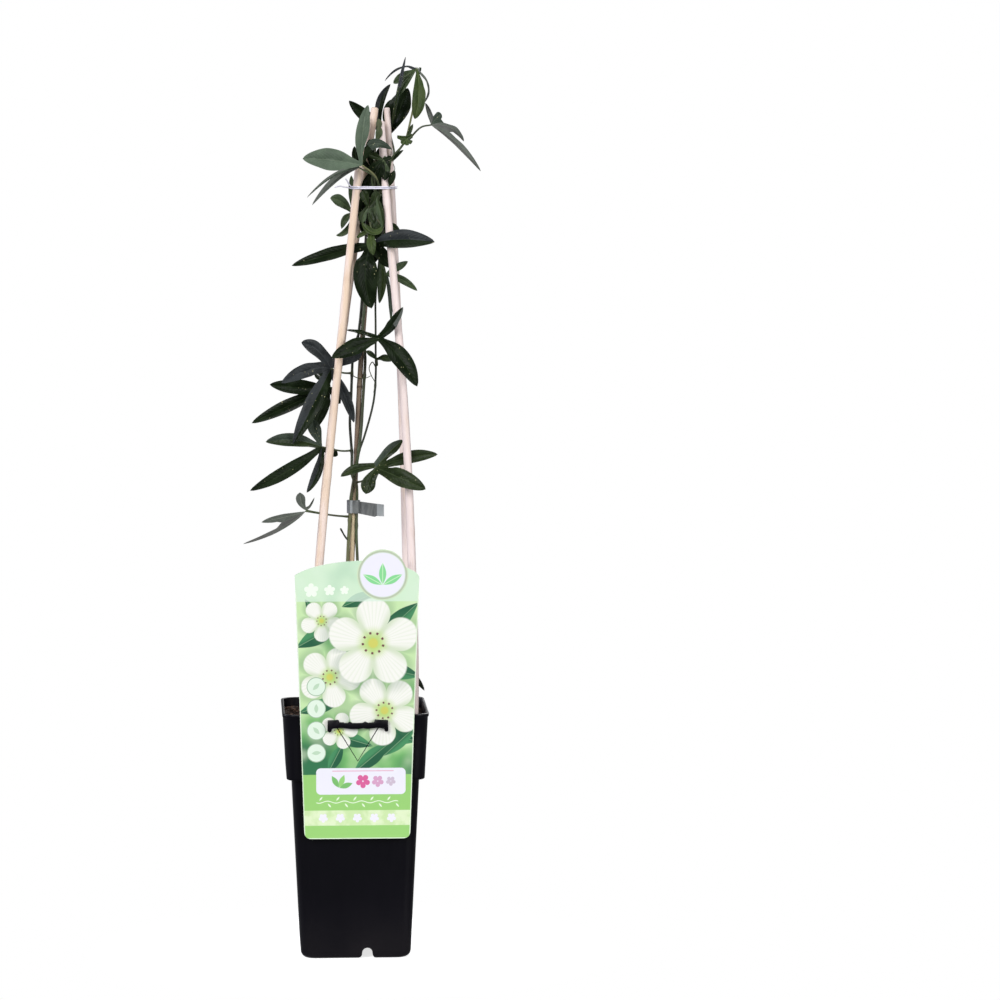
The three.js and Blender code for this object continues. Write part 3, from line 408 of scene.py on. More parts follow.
bmesh.ops.bevel(hook, geom=hook.edges[:], offset=HOOK_ROUND * MM, segments=2, profile=0.5,
                affect="EDGES", material=-1)
for side in (-1, 1):
    at = Matrix.Translation(Vector((HOOK_X + side * PEG_X, PEG_Y, HOOK_Z - 1)) * MM)
    bmesh.ops.create_cube(hook, size=1, matrix=at @ Matrix.Diagonal((*[size * MM for size in PEG_SIZE], 1)))
join_mesh(pot_mesh, hook)

black_plastic, shader, spot = new_material("black_plastic")
cloud = speckle(spot, 9, 4)
grain = speckle(spot, 1400, 2)
scuffs = speckle(spot, (420, 420, 24), 4, 0.5)
dust = ramp(axes(spot)[2], 0.06, 0.0) * ramp(cloud, 0.35, 0.75)
plastic = blend(ramp(cloud, 0.3, 0.7), (0.0014, 0.0012, 0.0028), (0.0024, 0.002, 0.0042))
dusty = blend(dust * 0.25, plastic, (0.02, 0.017, 0.016))
surface(shader, dusty, ramp(scuffs, 0.3, 0.8, 0.29, 0.33), grain + cloud * 6.0, 0.00012, 0.5, 0.24)
mesh_piece(pot_mesh, "moulded_pot", "pot", [black_plastic], sharp=50)

# ---- Compost ---------------------------------------------------------------------------------
# Bark-rich potting compost that fills the pot to a finger's width under the rim, in lumps, with
# loose chips and fibres on top.
SOIL_TOP = 211
SOIL_RELIEF = 2.2
SOIL_GAP = 0.35
SOIL_EASE = 0.1  # more room where the pot's collar steps in
SOIL_CELLS = 72
CHIP_COUNT = 620
FIBRE_COUNT = 130


def lump(x, y):
    """Height of the compost's lumps at a place, in millimetres."""
    waves = math.sin(0.23 * x + 1.3) * math.cos(0.31 * y - 0.4) + 0.6 * math.sin(0.47 * x - 0.39 * y)
    crumbs = noise.noise(Vector((0.16 * x, 0.16 * y, 3.1)))
    crumbs += 0.5 * noise.noise(Vector((0.45 * x, 0.45 * y, 8.7)))
    return SOIL_RELIEF * waves * 0.8 + 1.5 * crumbs


def into_square(x, y, half, corner):
    """Moves a point of the plain square from -1 to 1 into a rounded square."""
    share = corner / half
    over = [abs(x) - (1 - share), abs(y) - (1 - share)]
    if min(over) > 0:
        shrink = max(over) / math.hypot(*over)
        x = math.copysign(1 - share + over[0] * shrink, x)
        y = math.copysign(1 - share + over[1] * shrink, y)
    return x * half, y * half


def new_mesh(*layers):
    """An empty bmesh with these number layers on its vertices."""
    bm = bmesh.new()
    for name in layers:
        bm.verts.layers.float.new(name)
    return bm


def inside_half(z):
    """Half width of the compost at a height."""
    return pot_half(z) - POT_WALL - SOIL_GAP


luck = random.Random(7)
soil_mesh = new_mesh("tone")
tone = soil_mesh.verts.layers.float["tone"]
top_half = inside_half(SOIL_TOP)
bmesh.ops.create_grid(soil_mesh, x_segments=SOIL_CELLS, y_segments=SOIL_CELLS, size=1)
for vert in soil_mesh.verts:
    x, y = into_square(vert.co.x, vert.co.y, top_half, POT_CORNER)
    vert.co = Vector((x, y, SOIL_TOP + lump(x, y))) * MM
    vert[tone] = 0.3
edges = [edge for edge in soil_mesh.edges if edge.is_boundary]
half = top_half
for z in (190, COLLAR_BOTTOM + 6, COLLAR_BOTTOM - 4, POT_FLOOR + 0.4):
    wall = inside_half(z) - (SOIL_EASE if z == COLLAR_BOTTOM + 6 else 0)
    made = bmesh.ops.extrude_edge_only(soil_mesh, edges=edges)["geom"]
    for part in verts_in(made):
        part.co = Vector((part.co.x * wall / half, part.co.y * wall / half, z * MM))
        part[tone] = 0.2
    edges = [part for part in made if isinstance(part, bmesh.types.BMEdge) and part.is_boundary]
    half = wall
bmesh.ops.edgeloop_fill(soil_mesh, edges=edges)
for k in range(CHIP_COUNT):
    x = luck.uniform(-1, 1) * (top_half - 4)
    y = luck.uniform(-1, 1) * (top_half - 4)
    size = luck.uniform(0.8, 2.6)
    turn = Matrix.Rotation(luck.uniform(0, math.tau), 4, "Z")
    tip = Matrix.Rotation(luck.uniform(-0.6, 0.6), 4, "X")
    stretch = Matrix.Diagonal((size * luck.uniform(1.2, 2.4), size, size * luck.uniform(0.35, 0.7), 1))
    at = Matrix.Translation(Vector((x, y, SOIL_TOP + lump(x, y) + 0.2 * size)))
    chip = bmesh.ops.create_icosphere(soil_mesh, subdivisions=1, radius=MM)["verts"]
    shade = luck.uniform(0.15, 1)
    for vert in chip:
        vert[tone] = shade
        vert.co = (at @ turn @ tip @ stretch @ (vert.co / MM * luck.uniform(0.75, 1.2))) * MM
for k in range(FIBRE_COUNT):
    x = luck.uniform(-1, 1) * (top_half - 8)
    y = luck.uniform(-1, 1) * (top_half - 8)
    at = Matrix.Translation(Vector((x, y, SOIL_TOP + lump(x, y) + 0.6)) * MM)
    turn = Matrix.Rotation(luck.uniform(0, math.tau), 4, "Z")
    tip = Matrix.Rotation(math.pi / 2 + luck.uniform(-0.2, 0.2), 4, "X")
    fibre = bmesh.ops.create_cone(soil_mesh, cap_ends=True, segments=5, radius1=0.35 * MM, radius2=0.2 * MM,
                                  depth=luck.uniform(5, 13) * MM, matrix=at @ turn @ tip)["verts"]
    shade = luck.uniform(0.5, 1.2)
    for vert in fibre:
        vert[tone] = shade


def share_of(shader, name):
    """A number stored on the vertices, for a shader's tree."""
    return Flow(add(shader.id_data, "ShaderNodeAttribute", {}, attribute_name=name).outputs["Fac"])


compost, shader, spot = new_material("compost")
crumb = speckle(spot, 380, 6, 0.7)
shade = share_of(shader, "tone") + (speckle(spot, 60, 3) - 0.5) * 0.8
brown = blend(ramp(shade, 0.0, 1.0), (0.03, 0.017, 0.0115), (0.2, 0.11, 0.07))
# Painted shade: the compost turns near-black where its bump is lowest, as shade in the pits between the
# crumbs.
pit_shaded = blend(ramp(crumb, 0.35, 0.7), (0.008, 0.005, 0.004), brown)
surface(shader, pit_shaded, ramp(crumb, 0.3, 0.7, 0.95, 0.75), crumb, 0.0012, 0.8, 0.25)
mesh_piece(soil_mesh, "compost_top", "soil", [compost])

# ---- Sticks and cane -------------------------------------------------------------------------
# Four peeled wooden sticks stand in the pot's corners and lean together at the top. A thin bamboo
# cane between them carries the stems.
FOOT = 110  # height of the sticks' buried ends
TIE_Z = 679
STICKS = {  # route, distances from the foot to each knot, tone, and how much thinner its top is
    "stick_front_left": (
        [(-43, -44, FOOT), (-41, -47, 225), (-31, -39, 353), (-17, -27, 494), (3, -10, TIE_Z), (10, -6, 744)],
        (150, 318, 470), 0.25, 0,
    ),
    "stick_front_right": (
        [(44, -42, FOOT), (52, -46, 224), (50, -38, 362), (44, -28, 494), (29, -10, TIE_Z), (25, -6, 739)],
        (96, 270, 430, 560), 0.95, 0,
    ),
    "stick_back_right": (
        [(44, 42, FOOT), (51, 47, 218), (48, 39, 355), (44, 29, 490), (35, 10, TIE_Z), (30.6, 5, 751)],
        (180, 360, 500), 0.75, 0.6,
    ),
    "stick_back_left": (
        [(-41, 44, FOOT), (-38, 47, 218), (-30, 39, 346), (-16, 29, 491), (9, 10, TIE_Z), (20, 5, 751)],
        (120, 300, 455, 590), 0.35, 0,
    ),
}
STICK_FOOT_RADIUS = 3.8
STICK_TOP_RADIUS = 3.3
CANE_RADIUS = 2.3
CANE_FOOT = Vector((-15.5, 0, 105))
CANE_TOP = Vector((14.4, 0, 630))
CANE_JOINTS = (212, 300, 398, 505, 592)  # heights of the cane's joints
CANE_BOW = 1.7


def smooth_path(points, step):
    """Evenly spaced points along the smooth line through these ones."""
    stops = [Vector(p) for p in points]
    line = [2 * stops[0] - stops[1], *stops, 2 * stops[-1] - stops[-2]]
    dense = []
    for a, b, c, d in zip(line, line[1:], line[2:], line[3:]):
        gap_a, gap_b, gap_c = ((q - p).length ** 0.5 for p, q in ((a, b), (b, c), (c, d)))
        leave = ((b - a) / gap_a - (c - a) / (gap_a + gap_b) + (c - b) / gap_b) * gap_b
        arrive = ((c - b) / gap_b - (d - b) / (gap_b + gap_c) + (d - c) / gap_c) * gap_b
        for t in (k / 16 for k in range(16)):
            bend = (3 * (c - b) - 2 * leave - arrive) * t**2 + (2 * (b - c) + leave + arrive) * t**3
            dense.append(b + leave * t + bend)
    dense.append(stops[-1])
    return even_steps(dense, step)


def even_steps(dense, step):
    """The same line in equal steps."""
    reached = [0.0]
    for p, q in zip(dense, dense[1:]):
        reached.append(reached[-1] + (q - p).length)
    spans = max(2, round(reached[-1] / step))
    path = []
    at = 0
    for k in range(spans + 1):
        target = reached[-1] * k / spans
        while at < len(dense) - 2 and reached[at + 1] < target:
            at += 1
        share = (target - reached[at]) / max(reached[at + 1] - reached[at], 1e-9)
        path.append(dense[at].lerp(dense[at + 1], share))
    return path


def tube(bm, path, radius, sides=12, tone=0.0):
    """Round rod along a path, with softened ends. Its radius is a function of the distance from its foot,
    and its tone is a number or a function of the place."""
    tones = bm.verts.layers.float["tone"]
    alongs = bm.verts.layers.float["along"]
    rings = []
    distance = 0.0
    side = None
    for k, centre in enumerate(path):
        before, after = path[max(k - 1, 0)], path[min(k + 1, len(path) - 1)]
        tangent = (after - before).normalized()
        distance += (centre - before).length
        if side is None:
            side = Vector((1, 0, 0)) if abs(tangent.x) < 0.9 else Vector((0, 1, 0))
        side = (side - side.dot(tangent) * tangent).normalized()
        reach = radius(distance)
        if k == 0:
            rings.append((centre - tangent * 0.3 * reach, side, tangent, 0.6 * reach, distance))
        rings.append((centre, side, tangent, reach, distance))
        if k == len(path) - 1:
            rings.append((centre + tangent * 0.3 * reach, side, tangent, 0.6 * reach, distance))
    ring = list(bmesh.ops.create_circle(bm, segments=sides, radius=1)["verts"])
    first = ring
    for level, (centre, side, tangent, reach, distance) in enumerate(rings):
        if level:
            ring = next_ring(bm, ring)
        other = tangent.cross(side)
        for index, vert in enumerate(ring):
            turn = math.tau * index / sides
            vert.co = (centre + reach * (math.cos(turn) * side + math.sin(turn) * other)) * MM
            vert[tones] = tone(centre) if callable(tone) else tone
            vert[alongs] = distance * MM
    bm.faces.new(first)
    bm.faces.new(ring)
    bmesh.ops.recalc_face_normals(bm, faces=bm.faces)


def knobbly(foot, head, length, knots, rise=0.06, wide=2.2):
    """Radius that runs from foot to head, with a swelling at each knot."""
    def radius(distance):
        plain = foot + (head - foot) * min(distance / length, 1)
        swell = sum(math.exp(-(((distance - knot) / wide) ** 2)) for knot in knots)
        return plain * (1 + rise * swell)
    return radius


def length_of(path):
    """Length of a path."""
    return sum((q - p).length for p, q in zip(path, path[1:]))


def smooth(value, low, high):
    """Eased step from 0 at low to 1 at high, which may be the smaller number."""
    share = min(max((value - low) / (high - low), 0), 1)
    return share * share * (3 - 2 * share)


def cane_at(z):
    """The cane's middle at a height: it bows a little to the left above its middle."""
    bow = CANE_BOW * smooth(z, 330, 500) * smooth(z, 620, 520)
    return CANE_FOOT.lerp(CANE_TOP, (z - CANE_FOOT.z) / (CANE_TOP.z - CANE_FOOT.z)) - Vector((bow, 0, 0))


pale_wood, shader, spot = new_material("pale_wood")
fibre = speckle(spot, (700, 700, 9), 5, 0.65)
warmth = share_of(shader, "tone") + (speckle(spot, (260, 260, 4), 2) - 0.5) * 1.6
cream = blend(ramp(warmth, 0.0, 1.0), (0.72, 0.56, 0.43), (0.8, 0.68, 0.66))
shaded = blend(ramp(fibre, 0.5, 0.8) * 0.4, cream, (0.6, 0.42, 0.28))
spotted = blend(ramp(speckle(spot, 26, 3), 0.62, 0.8) * 0.3, shaded, (0.5, 0.33, 0.24))
pores = speckle(spot, (1500, 1500, 90), 2)
flecked = blend(ramp(pores, 0.7, 0.82) * 0.5, spotted, (0.3, 0.19, 0.13))
# Painted shade: where a stick's side turns away from the view, its colour darkens to a mauve grey, standing
# in for the shade and dim reflections along its edges.
turned_away_shade = Flow(add(shader.id_data, "ShaderNodeLayerWeight", {"Blend": 0.5}).outputs["Facing"])
edged = blend(ramp(turned_away_shade, 0.6, 0.95) * 0.6, flecked, (0.36, 0.28, 0.31))
surface(shader, edged, ramp(fibre, 0.3, 0.7, 0.5, 0.68), fibre, 0.0003, 0.6, 0.3)

for name, (route, knots, shade, thinner) in STICKS.items():
    stick = new_mesh("tone", "along")
    path = smooth_path(route, 4)
    taper = knobbly(STICK_FOOT_RADIUS, STICK_TOP_RADIUS - thinner, length_of(path), knots, 0.07, 3.5)
    tube(stick, path, taper, 20, shade)
    mesh_piece(stick, "wood_" + name, name, [pale_wood], sharp=50)

bamboo, shader, spot = new_material("bamboo")
height = axes(spot)[2]
streak = speckle(spot, (1100, 1100, 22), 4, 0.6)
straw = blend(ramp(speckle(spot, 45, 4), 0.35, 0.7), (0.62, 0.52, 0.33), (0.54, 0.4, 0.26))
aged = blend(ramp(height, 0.39, 0.44), straw, (0.19, 0.13, 0.085))
streaked = blend(ramp(streak, 0.5, 0.72) * 0.7, aged, (0.06, 0.038, 0.025))
joint = 0.0
for level in CANE_JOINTS:
    joint = calc("MAXIMUM", ramp(abs(height - level * MM), 0.0016, 0.0004), joint)
jointed = blend(joint * 0.8, streaked, (0.055, 0.028, 0.012))
surface(shader, jointed, ramp(streak, 0.3, 0.7, 0.38, 0.6), streak, 0.0003, 0.5)

cane = new_mesh("tone", "along")
rise = CANE_TOP.z - CANE_FOOT.z
path = smooth_path([cane_at(CANE_FOOT.z + rise * k / 15) for k in range(16)], 2)
joints = [(z - CANE_FOOT.z) * (CANE_TOP - CANE_FOOT).length / rise for z in CANE_JOINTS]
tube(cane, path, knobbly(CANE_RADIUS, CANE_RADIUS, 1, joints, 0.12, 1.3), 16)
mesh_piece(cane, "bamboo_cane", "cane", [bamboo], sharp=50)

# ---- Stems -----------------------------------------------------------------------------------
# Two thin green stems wind up the cane, woody and brown in places, with a swelling at each leaf.
# The main one carries a dark side branch, the top shoot with two bracts, and thin tendrils.
STEM_GAP = 0.25
MAIN_RADIUS = 1.75
SECOND_RADIUS = 1.4
BRANCH_RADIUS = 0.95
SHOOT_RADIUS = 1.1
TENDRIL_RADIUS = 0.5


def beside(z, degrees, radius):
    """Point on a stem that lies against the cane: 0 degrees is to its right, 270 in front."""
    reach = CANE_RADIUS + radius + STEM_GAP
    turn = math.radians(degrees)
    return cane_at(z) + Vector((reach * math.cos(turn), reach * math.sin(turn), 0))


def winding(stops, radius):
    """Route that winds round the cane through (height, degrees) stops."""
    route = []
    for (z0, a0), (z1, a1) in zip(stops, stops[1:]):
        steps = max(1, math.ceil(abs(a1 - a0) / 15), math.ceil((z1 - z0) / 30))
        for share in (k / steps for k in range(steps)):
            route.append(beside(z0 + (z1 - z0) * share, a0 + (a1 - a0) * share, radius))
    route.append(beside(*stops[-1], radius))
    return route


MAIN_WIND = [
    (120, 215), (330, 212), (365, 205), (405, 218), (430, 265), (450, 300), (470, 322), (505, 330),
    (528, 330), (545, 292), (556, 262), (600, 262), (630, 290), (650, 335), (664, 365),
]
MAIN_ROUTE = [*winding(MAIN_WIND, MAIN_RADIUS), (26, 0, 683), (31, 0, 696), (34, 0, 706)]
SHOOT_ROUTE = [(31, 0, 697), (34, 0, 706), (39, 0, 712), (43, 0, 717), (48, 0, 724)]
SECOND_FOOT = [
    place + Vector((2.6 * smooth(place.z, 385, 335) * smooth(place.z, 215, 290), 0, 0))
    for place in winding([(120, -25), (310, -30), (345, -42), (403, -56)], SECOND_RADIUS)
]
SECOND_OVER = [  # height, degrees and lift, where it crosses in front of the main stem
    (411, -68, 1.2), (418, -82, 2.9), (423, -103, 3.7), (428, -118, 3.7), (436, -126, 2.6), (446, -148, 0.8),
]
SECOND_ROUTE = [
    *SECOND_FOOT, *[beside(z, degrees, SECOND_RADIUS + lift) for z, degrees, lift in SECOND_OVER],
    (-2, 3, 456), (-3, 1, 473), (-2, 0, 492), (-1, 0, 518), (0, 0, 533),
    *winding([(552, 196), (566, 212), (600, 215), (640, 210), (664, 205)], SECOND_RADIUS),
]
BRANCH_ROUTE = [
    (5, -4, 448), (10, -4, 462), (18, -2, 492), (20, -1, 515), (20, -1, 537), (20, -1, 560), (20, -1, 582),
    (22, -1, 606), (25, -1, 630), (27, -1, 645),
]
TENDRIL_ROUTES = [
    [(20, -1, 522), (17, -4, 527), (14, -7, 522), (16, -9, 515), (19, -7, 509), (18, -5, 500)],
    [(-1, -1, 521), (-1, -5, 516), (4, -6.5, 513), (11, -6.5, 513), (16, -4, 515)],
    [(33, 0, 703), (31, -3, 699), (33, -6, 694), (37, -6, 697), (36, -4, 702)],
]
STUB_ROUTE = [(-4.5, -2, 368), (-7.5, -3, 371.5), (-11.7, -4, 379)]  # a shoot that was cut off
MAIN_KNOTS = (267, 331, 396, 424, 452, 540, 585)  # distances from the foot to each swelling
SECOND_KNOTS = (262, 300, 330, 400, 432)

green_stem, shader, spot = new_material("green_stem")
rib = speckle(spot, (1300, 1300, 30), 3, 0.6)
tone = share_of(shader, "tone")
green = blend(ramp(rib, 0.35, 0.7), (0.05, 0.075, 0.032), (0.12, 0.15, 0.075))
corky = blend(ramp(speckle(spot, 38, 4), 0.42, 0.68) * 0.8, green, (0.09, 0.08, 0.045))
pale = blend(tone * -1.0, corky, (0.3, 0.29, 0.14))
dark = blend(tone, pale, (0.016, 0.017, 0.016))
flecked = blend(ramp(speckle(spot, 900, 2), 0.64, 0.78) * 0.3, dark, (0.22, 0.2, 0.12))
surface(shader, flecked, ramp(rib, 0.3, 0.7, 0.42, 0.62), rib, 0.0003, 0.6, 0.25)

WEB_RADIUS = 7
WEB_SHARE = 0.32  # of a lobe's length at most, unless the web is wide
DEPTH_CLEAR = 3  # lobes further apart in depth than this don't narrow each other
ROOM_SHARE = 0.48  # of the distance to the next lobe
BLADE_FOLD = 0.27
BLADE_THICK = 0.42
HALF_COLUMNS = 5
WEB_ROWS = 5
ROW_LENGTH = 1.6
EDGE_WAVE = 0.07
BULGE = 0.11
SKINS = {  # two ground colours, the veins' colour, how many spots, roughness and shine
    "dark": ((0.004, 0.0076, 0.0028), (0.0086, 0.0158, 0.0054), (0.018, 0.03, 0.0115), 0.7, 0.3, 0.07),
    "deep": ((0.011, 0.019, 0.006), (0.021, 0.034, 0.011), (0.045, 0.065, 0.026), 0.6, 0.3, 0.12),
    # Painted sheen: a greyer green for lobes, or halves of lobes, that catch the light softly.
    "satin": ((0.022, 0.032, 0.023), (0.038, 0.055, 0.039), (0.07, 0.09, 0.065), 0.6, 0.38, 0.14),
    "mid": ((0.026, 0.042, 0.017), (0.044, 0.07, 0.032), (0.08, 0.11, 0.05), 0.2, 0.34, 0.18),
    "young": ((0.021, 0.039, 0.0095), (0.039, 0.059, 0.016), (0.078, 0.11, 0.038), 0.15, 0.38, 0.14),
    "bright": ((0.02, 0.036, 0.007), (0.036, 0.06, 0.013), (0.08, 0.11, 0.035), 0.1, 0.36, 0.18),
    # Painted reflection: a bluish grey for the sky-like sheen on lobes, or halves of lobes, that face up.
    "slate": ((0.0125, 0.0152, 0.0162), (0.023, 0.0278, 0.0302), (0.04, 0.046, 0.05), 0.4, 0.4, 0.16),
    "under": ((0.07, 0.1, 0.068), (0.094, 0.132, 0.09), (0.14, 0.18, 0.13), 0.1, 0.5, 0.2),
    "grey": ((0.058, 0.068, 0.057), (0.096, 0.108, 0.095), (0.13, 0.145, 0.12), 0.1, 0.5, 0.2),
    "mauve": ((0.058, 0.06, 0.056), (0.09, 0.093, 0.087), (0.12, 0.12, 0.11), 0.1, 0.5, 0.2),
}
LOOKS = [*SKINS, "stalk"]


class Bow:
    """Quadratic curve from a hub through a middle point to a tip."""

    def __init__(self, start, via, tip):
        self.start = start
        self.tip = tip
        self.control = 2 * via - 0.5 * start - 0.5 * tip
        self.length = length_of([self.point(k / 40) for k in range(41)])
        self.spots = [self.point(k / 24) for k in range(25)]

    def point(self, s):
        return (1 - s) ** 2 * self.start + 2 * s * (1 - s) * self.control + s * s * self.tip

    def tangent(self, s):
        return (2 * (1 - s) * (self.control - self.start) + 2 * s * (self.tip - self.control)).normalized()

    def nearest(self, place):
        return min(self.spots, key=lambda spot: (spot - place).length)


def blade(bm, hub, face, lobes, web=WEB_RADIUS, look="dark", shape=1.08):
    """A palmate blade: one strip of faces for each lobe, joined in the web round the hub.
    Each lobe is (via, tip, width) and may add the way it faces, its look from that side, and the share of
    its length past which it takes the look of its turned-over part, with that look. A look may name one for
    each half.
    A lobe is widest nearer the hub for a smaller shape number."""
    veins = bm.loops.layers.uv["veins"]
    shares = bm.loops.layers.uv["blade"]
    centre = Vector(hub)
    leaf_face = Vector(face).normalized()
    bows = [Bow(centre, Vector(lobe[0]), Vector(lobe[1])) for lobe in lobes]
    reaches = [min(max(WEB_SHARE, web / 40), web / bow.length) for bow in bows]
    for i, (bow, lobe) in enumerate(zip(bows, lobes)):
        lobe_face = Vector(lobe[3]).normalized() if len(lobe) > 3 and lobe[3] else leaf_face
        lobe_look = lobe[4] if len(lobe) > 4 else look
        reach = reaches[i]
        rows = WEB_ROWS + max(8, min(26, round(bow.length * (1 - reach) / ROW_LENGTH)))
        seed = noise.noise(Vector((hub[0] + 7.3 * i, hub[2] * 0.37, 1.7)))

        def edge_at(s, sign):
            mid = bow.point(s)
            tangent = bow.tangent(s)
            turned = leaf_face.lerp(lobe_face, smooth(s, 0, 0.4))
            side = turned.cross(tangent).normalized()
            up = tangent.cross(side)
            away = bows[(i + sign) % len(bows)].nearest(mid) - mid
            over = max(0, abs(away.dot(up)) - DEPTH_CLEAR)
            room = ROOM_SHARE * away.length * (1 + over / DEPTH_CLEAR)
            half = wanted = lobe[2] / 2 * max(math.sin(math.pi * s**shape), 0) ** 0.66
            if len(bows) > 1:
                half = wanted * room / max((wanted**4 + room**4) ** 0.25, 1e-6)
            ripple = math.sin((5 + 3 * seed) * math.pi * s + 2.1 * sign + 9 * seed)
            rise = BLADE_FOLD * half + EDGE_WAVE * wanted * ripple * smooth(s, 0.25, 0.6)
            return mid, side, up, half, mid + sign * half * side + rise * up

        def web_edge(share, sign):
            j = i + sign
            if j < 0 or j >= len(bows):
                return edge_at(share * reach, sign)[4]
            return 0.5 * (bow.point(share * reach) + bows[j].point(share * reaches[j]))

        strip = bmesh.ops.create_grid(bm, x_segments=2 * HALF_COLUMNS, y_segments=rows, size=1)["verts"]
        places = {}
        for vert in strip:
            t = vert.co.x
            row = round((vert.co.y + 1) / 2 * rows)
            in_web = row <= WEB_ROWS
            past_web = (1 - reach) * (row - WEB_ROWS) / (rows - WEB_ROWS)
            s = reach * row / WEB_ROWS if in_web else reach + past_web
            sign = -1 if t > 0 else 1
            mid, side, up, half, edge = edge_at(s, sign)
            if in_web:
                edge = web_edge(row / WEB_ROWS, sign)
            elif 0 <= i + sign < len(bows):
                narrowing = (half / max(edge_at(reach, sign)[3], 0.2)) ** 0.5
                held = mid + (web_edge(1, sign) - bow.point(reach)) * narrowing
                edge = held.lerp(edge, smooth(s, reach, reach + 0.2 * (1 - reach)))
            out = edge - mid
            bulge = BULGE * half * math.sin(math.pi * abs(t)) * smooth(s, 0.02, 0.3)
            vert.co = (mid + out * abs(t) + up * bulge) * MM
            places[vert] = (math.copysign(out.length * abs(t), t) * MM, bow.length * s * MM, t, s)
        for part in list({face for vert in strip for face in vert.link_faces}):
            start = min(places[vert][3] for vert in part.verts)
            turned_over = len(lobe) > 5 and start >= lobe[5][0]
            halves = lobe[5][1] if turned_over else lobe_look
            first_half = sum(places[vert][2] for vert in part.verts) < 0
            part.material_index = LOOKS.index(halves.split("/")[0 if first_half else -1])
            for loop in part.loops:
                u, v, t, s = places[loop.vert]
                loop[veins].uv = (u, v)
                loop[shares].uv = (t, s)


def thicken(bm, thickness):
    """Gives a sheet its thickness in millimetres."""
    bmesh.ops.solidify(bm, geom=[*bm.faces, *bm.edges, *bm.verts], thickness=thickness * MM)


def thicken_blades(bm):
    """Welds the strips of the blades and gives them their thickness, with the other skin on the far side."""
    bmesh.ops.remove_doubles(bm, verts=bm.verts[:], dist=0.012 * MM)
    sheet = set(bm.faces)
    thicken(bm, BLADE_THICK)
    for face in bm.faces:
        rim = any(other in sheet for edge in face.edges for other in edge.link_faces)
        if face not in sheet and not rim:
            front = LOOKS[face.material_index]
            face.material_index = LOOKS.index("dark" if front in ("under", "grey", "mauve") else "under")


def leaf_mesh():
    """An empty bmesh with the layers that the leaf skins and the stems read."""
    bm = new_mesh("tone", "along")
    bm.loops.layers.uv.new("veins")
    bm.loops.layers.uv.new("blade")
    return bm


def finish_leaf(blades, stalks, name, node):
    """Puts blades and stalks together as one piece."""
    for face in stalks.faces:
        face.material_index = LOOKS.index("stalk")
    join_mesh(blades, stalks)
    mesh_piece(blades, name, node, leaf_skins, sharp=60)


def group_of(name, inputs, outputs):
    """A node group with number inputs and outputs: its tree, what it is given and its output node."""
    tree = bpy.data.node_groups.new(name, "ShaderNodeTree")
    for way, sockets in (("INPUT", inputs), ("OUTPUT", outputs)):
        for socket in sockets:
            tree.interface.new_socket(socket, in_out=way, socket_type="NodeSocketFloat")
    given = {socket.name: Flow(socket) for socket in add(tree, "NodeGroupInput", {}).outputs}
    return tree, given, add(tree, "NodeGroupOutput", {})


def marks_of(tree, kind, **sockets):
    """What a node group gives in a tree, by name."""
    outputs = add(tree, "ShaderNodeGroup", sockets, node_tree=kind).outputs
    return {output.name: Flow(output) for output in outputs}


def map_of(tree, name):
    """The two numbers of a map on the faces."""
    return axes(Flow(add(tree, "ShaderNodeUVMap", {}, uv_map=name).outputs[0]))[:2]


def cells_of(spot, scale, feature="F1"):
    """Distance in a pattern of cells, at so many cells per metre."""
    sockets = {"Vector": spot, "Scale": scale}
    return Flow(add(tree_of(spot), "ShaderNodeTexVoronoi", sockets, feature=feature).outputs["Distance"])


leaf_pattern, given, output = group_of(
    "leaf_pattern", [], ["vein", "net", "margin", "specks", "height", "cloud"],
)
across, along = map_of(leaf_pattern, "veins")
width_share, length_share = map_of(leaf_pattern, "blade")
spot = place_of(leaf_pattern)
out = abs(across)
toward_edge = abs(width_share)
inward = ramp(toward_edge, 0.95, 0.55)
midrib = ramp(out, 0.00065, 0.00015) * ramp(length_share, 1.0, 0.75, 0.3, 1.0)
root = along - out * 0.75 - calc("POWER", out * 100.0, 1.6) * 0.012
wander = (speckle(spot, 240, 2) - 0.5) * 0.003
beat = (root + calc("SIGN", across) * 0.0009 + wander) / 0.0042
phase = abs(calc("FRACT", beat + 50.0) - 0.5)
net = ramp(cells_of(spot, 700.0, "DISTANCE_TO_EDGE"), 0.12, 0.02)
quilt = ramp(phase, 0.0, 0.5) * inward
plug(output, {
    "vein": calc("MAXIMUM", midrib, ramp(phase, 0.07, 0.015) * 0.3 * inward),
    "net": net,
    "margin": ramp(toward_edge, 0.92, 1.0),
    "specks": ramp(cells_of(spot, 330.0), 0.2, 0.1) * ramp(speckle(spot, 130, 2), 0.52, 0.62),
    "height": quilt + net * -0.15 - midrib * 0.8,
    "cloud": ramp(speckle(spot, 75, 4), 0.36, 0.66),
})

leaf_skins = []
for name, (upper, middle, vein, spots, gloss, shine) in SKINS.items():
    skin, shader, spot = new_material("leaf_" + name)
    marks = marks_of(shader.id_data, leaf_pattern)
    netted = blend(marks["net"] * 0.15, blend(marks["cloud"], upper, middle), vein)
    veined = blend(marks["vein"] * 0.7, netted, vein)
    spotted = blend(marks["specks"] * spots, veined, (0.42, 0.4, 0.22))
    edged = blend(marks["margin"] * 0.45, spotted, vein)
    rough = ramp(marks["cloud"], 0.0, 1.0, gloss, gloss + 0.12) + marks["vein"] * 0.1
    surface(shader, edged, rough, marks["height"], 0.0002, 0.4, shine)
    leaf_skins.append(skin)
leaf_skins.append(green_stem)

